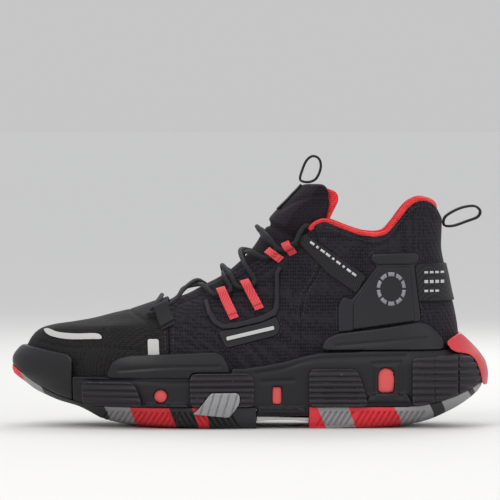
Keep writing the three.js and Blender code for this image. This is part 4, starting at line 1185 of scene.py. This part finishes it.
# ---- Pull loops ---------------------------------------------------------------------------------
HEEL_LOOP = [(126.3, 130.5), (126.6, 135.4), (132, 139.4), (139, 142.2), (146, 142.8),
             (149.6, 139.8), (148, 135.8), (141, 133), (132, 130)]
LOOP_WEBBING, HEEL_LOOP_WIDTH, TONGUE_LOOP_WIDTH = 1.5, 13, 15
TONGUE_LOOP = [(32.6, 160), (34, 166.5), (36.8, 172.6), (40.6, 175.3), (44.4, 174),
               (46, 170), (45.2, 165), (42.4, 160.2), (37.5, 158.4)]


def band_mesh(points, width, thickness):
    """A closed band of webbing with a rounded section, seen from the side as this loop."""
    path = spline(points, 10, closed=True)
    along = np.roll(path, -1, 0) - np.roll(path, 1, 0)
    along /= np.hypot(*along.T)[:, None]
    out = np.stack([along[:, 1], -along[:, 0]], 1)
    section = rounded([(-width / 2, -thickness / 2), (width / 2, -thickness / 2),
                       (width / 2, thickness / 2), (-width / 2, thickness / 2)],
                      thickness * 0.45, 4)
    corners = [(path[i][0] + out[i][0] * t, y, path[i][1] + out[i][1] * t)
               for i in range(len(path)) for y, t in section]
    sides = len(section)
    count = len(path)
    faces = [(i * sides + j, ((i + 1) % count) * sides + j,
              ((i + 1) % count) * sides + (j + 1) % sides, i * sides + (j + 1) % sides)
             for i in range(count) for j in range(sides)]
    return corners, faces


def make_pull_loops():
    heel = on_bench("heel", *band_mesh(HEEL_LOOP, HEEL_LOOP_WIDTH, LOOP_WEBBING))
    skin(heel, "heel_loop", WEBBING, "heel_pull")
    tongue = on_bench("pull", *band_mesh(TONGUE_LOOP, TONGUE_LOOP_WIDTH, LOOP_WEBBING))
    skin(tongue, "tongue_loop", WEBBING, "tongue_pull")


# ---- Stitches and prints ------------------------------------------------------------------------
def stitched(name, lines, lift, pitch=2.6, length=1.9, radius=0.22):
    """Rows of thread stitches that lie on the form along lines seen from the side."""
    corners, faces = [], []
    for _, side in SIDES:
        for line in lines:
            line = np.array(line, float)
            fine = np.array([on_form(x, z, side, lift) for x, z in line])
            along = np.concatenate([[0], np.cumsum(np.linalg.norm(np.diff(fine, axis=0), axis=1))])
            for start in np.arange(0, along[-1] - length, pitch):
                places = np.linspace(start, start + length, 5)
                path = np.stack([np.interp(places, along, fine[:, k]) for k in range(3)], 1)
                swell = [0.45, 0.95, 1.1, 0.95, 0.45]
                made, sewn = tube_mesh(path, lambda turn, i: radius * swell[i], 6)
                faces += [tuple(len(corners) + c for c in face) for face in sewn]
                corners += made
    thing = on_bench(name, corners, faces)
    finish_piece(thing, name, THREAD)


def make_stitches():
    counter = spline(grown(COUNTER, 1.2), 2, closed=True)
    stitched("stitches_counter", [counter[:len(counter) * 3 // 5]], 0.15)
    edge = [(x, z - 3.2) for x, z in spline(COLLAR[3:-2], 6)]
    stitched("stitches_collar", [edge], 0.12)
    stitched("stitches_throat", [[(x + 1.6, z - 2.6) for x, z in spline(THROAT[3:], 6)]], 0.12)
    stitched("stitches_side_seam", [[(x + 1.8, z) for x, z in spline(SIDE_SEAM[1:-1], 6)],
                                    [(x - 2.1, z) for x, z in spline(SIDE_SEAM[1:-1], 6)]], 0.12)
    stitched("stitches_vamp", [spline([(-54.5, 51), (-54.8, 63), (-56, 76)], 6),
                               spline([(-49.5, 51), (-49.6, 63), (-50, 79)], 6)], 0.12)
    stitched("stitches_patch", [spline(grown(PATCH, 1.1), 2, closed=True)], 0.1)


def plain_marks(name, cells, lift, thickness, material):
    """Small plain bars on the surface, each given as four corners seen from the side."""
    outer, base = form(lift + thickness), form(lift)
    pieces = []
    for _, side in SIDES:
        for cell in cells:
            pieces.append(carve(outer, ("&", block(cell, side)), ("-", base)))
    mesh = bmesh.new()
    for piece in pieces:
        mesh.from_mesh(piece.data)
    joined = bpy.data.meshes.new(name)
    mesh.to_mesh(joined)
    mesh.free()
    thing = bpy.data.objects.new(name, joined)
    WORKBENCH.objects.link(thing)
    finish_piece(thing, name, material)


def make_marks():
    start, end = np.array([37.5, 121.2]), np.array([69.5, 97.5])
    along = (end - start) / np.hypot(*(end - start))
    across = np.array([-along[1], along[0]])
    dashes = []
    for k, size in enumerate([3.2, 1.6, 3.2, 3.2, 1.6, 3.2, 1.6, 3.2, 3.2]):
        middle = start + along * (3.2 + 4.2 * k)
        dashes.append([tuple(middle + along * a * size / 2 + across * b * 0.75)
                       for a, b in ((-1, -1), (1, -1), (1, 1), (-1, 1))])
    plain_marks("strap_dashes", dashes, 1.5, 0.25, PRINT_PALE)
    rows = []
    for k, z in enumerate((100.5, 94.5, 88.5)):
        for j in range(4 - (k == 2)):
            x = 112.5 + 3.6 * j
            rows.append(slab(x, z - 0.7 - 0.3 * (k == 1), x + 2.4, z + 0.7 + 0.3 * (k == 1)))
    plain_marks("heel_strap_dashes", rows, 1.5, 0.25, PRINT_PALE)
    ring = []
    for k in range(10):
        a, b = 2 * math.pi * (k + 0.12) / 10, 2 * math.pi * (k + 0.88) / 10
        ring.append([(91 + r * math.cos(t), 90 + r * 1.15 * math.sin(t))
                     for r, t in ((7.2, a), (7.2, (a + b) / 2), (7.2, b), (9.4, b),
                                  (9.4, (a + b) / 2), (9.4, a))])
    plain_marks("counter_ring", ring, 2.6, 0.3, PRINT_GREY)


# ---- Studio, in metres --------------------------------------------------------------------------
FLOOR_REACH = 60
LENS, SENSOR = 400, 36
VIEW_HEIGHT, VIEW_DISTANCE, VIEW_TILT = 0.1142, 3.616, 1.4


def make_studio():
    floor = Finish("studio_floor", linear(214, 213, 211), 0.9)
    mesh = bpy.data.meshes.new("studio_floor")
    reach = FLOOR_REACH
    mesh.from_pydata([(-reach, -reach, 0), (reach, -reach, 0), (reach, reach, 0),
                      (-reach, reach, 0)], [], [(0, 1, 2, 3)])
    ground = bpy.data.objects.new("studio_floor", mesh)
    mesh.materials.append(floor.material)
    bpy.context.scene.collection.objects.link(ground)

    world = bpy.data.worlds.new("studio")
    world.use_nodes = True
    tree = world.node_tree
    sky = tree.nodes["Background"]
    sky.inputs["Color"].default_value = (0.97, 0.98, 1.0, 1)
    sky.inputs["Strength"].default_value = 0.85
    backdrop = tree.nodes.new("ShaderNodeBackground")
    backdrop.inputs["Color"].default_value = linear(198, 198, 198)
    backdrop.inputs["Strength"].default_value = 1.0
    seen = tree.nodes.new("ShaderNodeLightPath")
    mix = tree.nodes.new("ShaderNodeMixShader")
    tree.links.new(seen.outputs["Is Camera Ray"], mix.inputs[0])
    tree.links.new(sky.outputs[0], mix.inputs[1])
    tree.links.new(backdrop.outputs[0], mix.inputs[2])
    tree.links.new(mix.outputs[0], tree.nodes["World Output"].inputs["Surface"])
    bpy.context.scene.world = world
    lamps = [
        ("key", (-0.55, -1.25, 1.15), 0.8, 8.5, (1.0, 0.98, 0.96)),
        ("fill", (0.95, -1.05, 0.55), 0.8, 2.5, (0.96, 0.98, 1.0)),
        ("rim", (0.35, 1.1, 1.0), 0.8, 7, (1.0, 1.0, 1.0)),
        ("top", (0.0, -0.1, 1.5), 0.9, 4, (1.0, 1.0, 1.0)),
    ]
    for name, place, size, power, tint in lamps:
        light = bpy.data.lights.new(name, "AREA")
        light.size = size
        light.energy = power
        light.color = tint
        lamp = bpy.data.objects.new(name, light)
        lamp.location = place
        lamp.rotation_euler = (Vector((0, 0, 0.07)) - Vector(place)).to_track_quat(
            "-Z", "Y").to_euler()
        bpy.context.scene.collection.objects.link(lamp)


def make_camera():
    low, high = [Vector(corner) for corner in CAD_BOX]
    middle = Vector(((low.x + high.x) / 2, 0, VIEW_HEIGHT))
    lens = bpy.data.cameras.new("camera")
    lens.lens = LENS
    lens.sensor_width = SENSOR
    camera = bpy.data.objects.new("camera", lens)
    tilt = math.radians(VIEW_TILT)
    camera.location = middle + Vector((0, -math.cos(tilt), math.sin(tilt))) * VIEW_DISTANCE
    camera.rotation_euler = (middle - camera.location).to_track_quat("-Z", "Y").to_euler()
    bpy.context.scene.collection.objects.link(camera)
    bpy.context.scene.camera = camera
    bpy.context.scene.view_settings.view_transform = "Standard"


make_camera()
make_outsole()
make_midsole()
make_pods()
make_upper()
make_tongue()
make_tongue_strip()
make_overlays()
make_lacing()
make_pull_loops()
make_stitches()
make_marks()
make_studio()

for leftover in list(WORKBENCH.objects):
    bpy.data.objects.remove(leftover)
bpy.data.collections.remove(WORKBENCH)
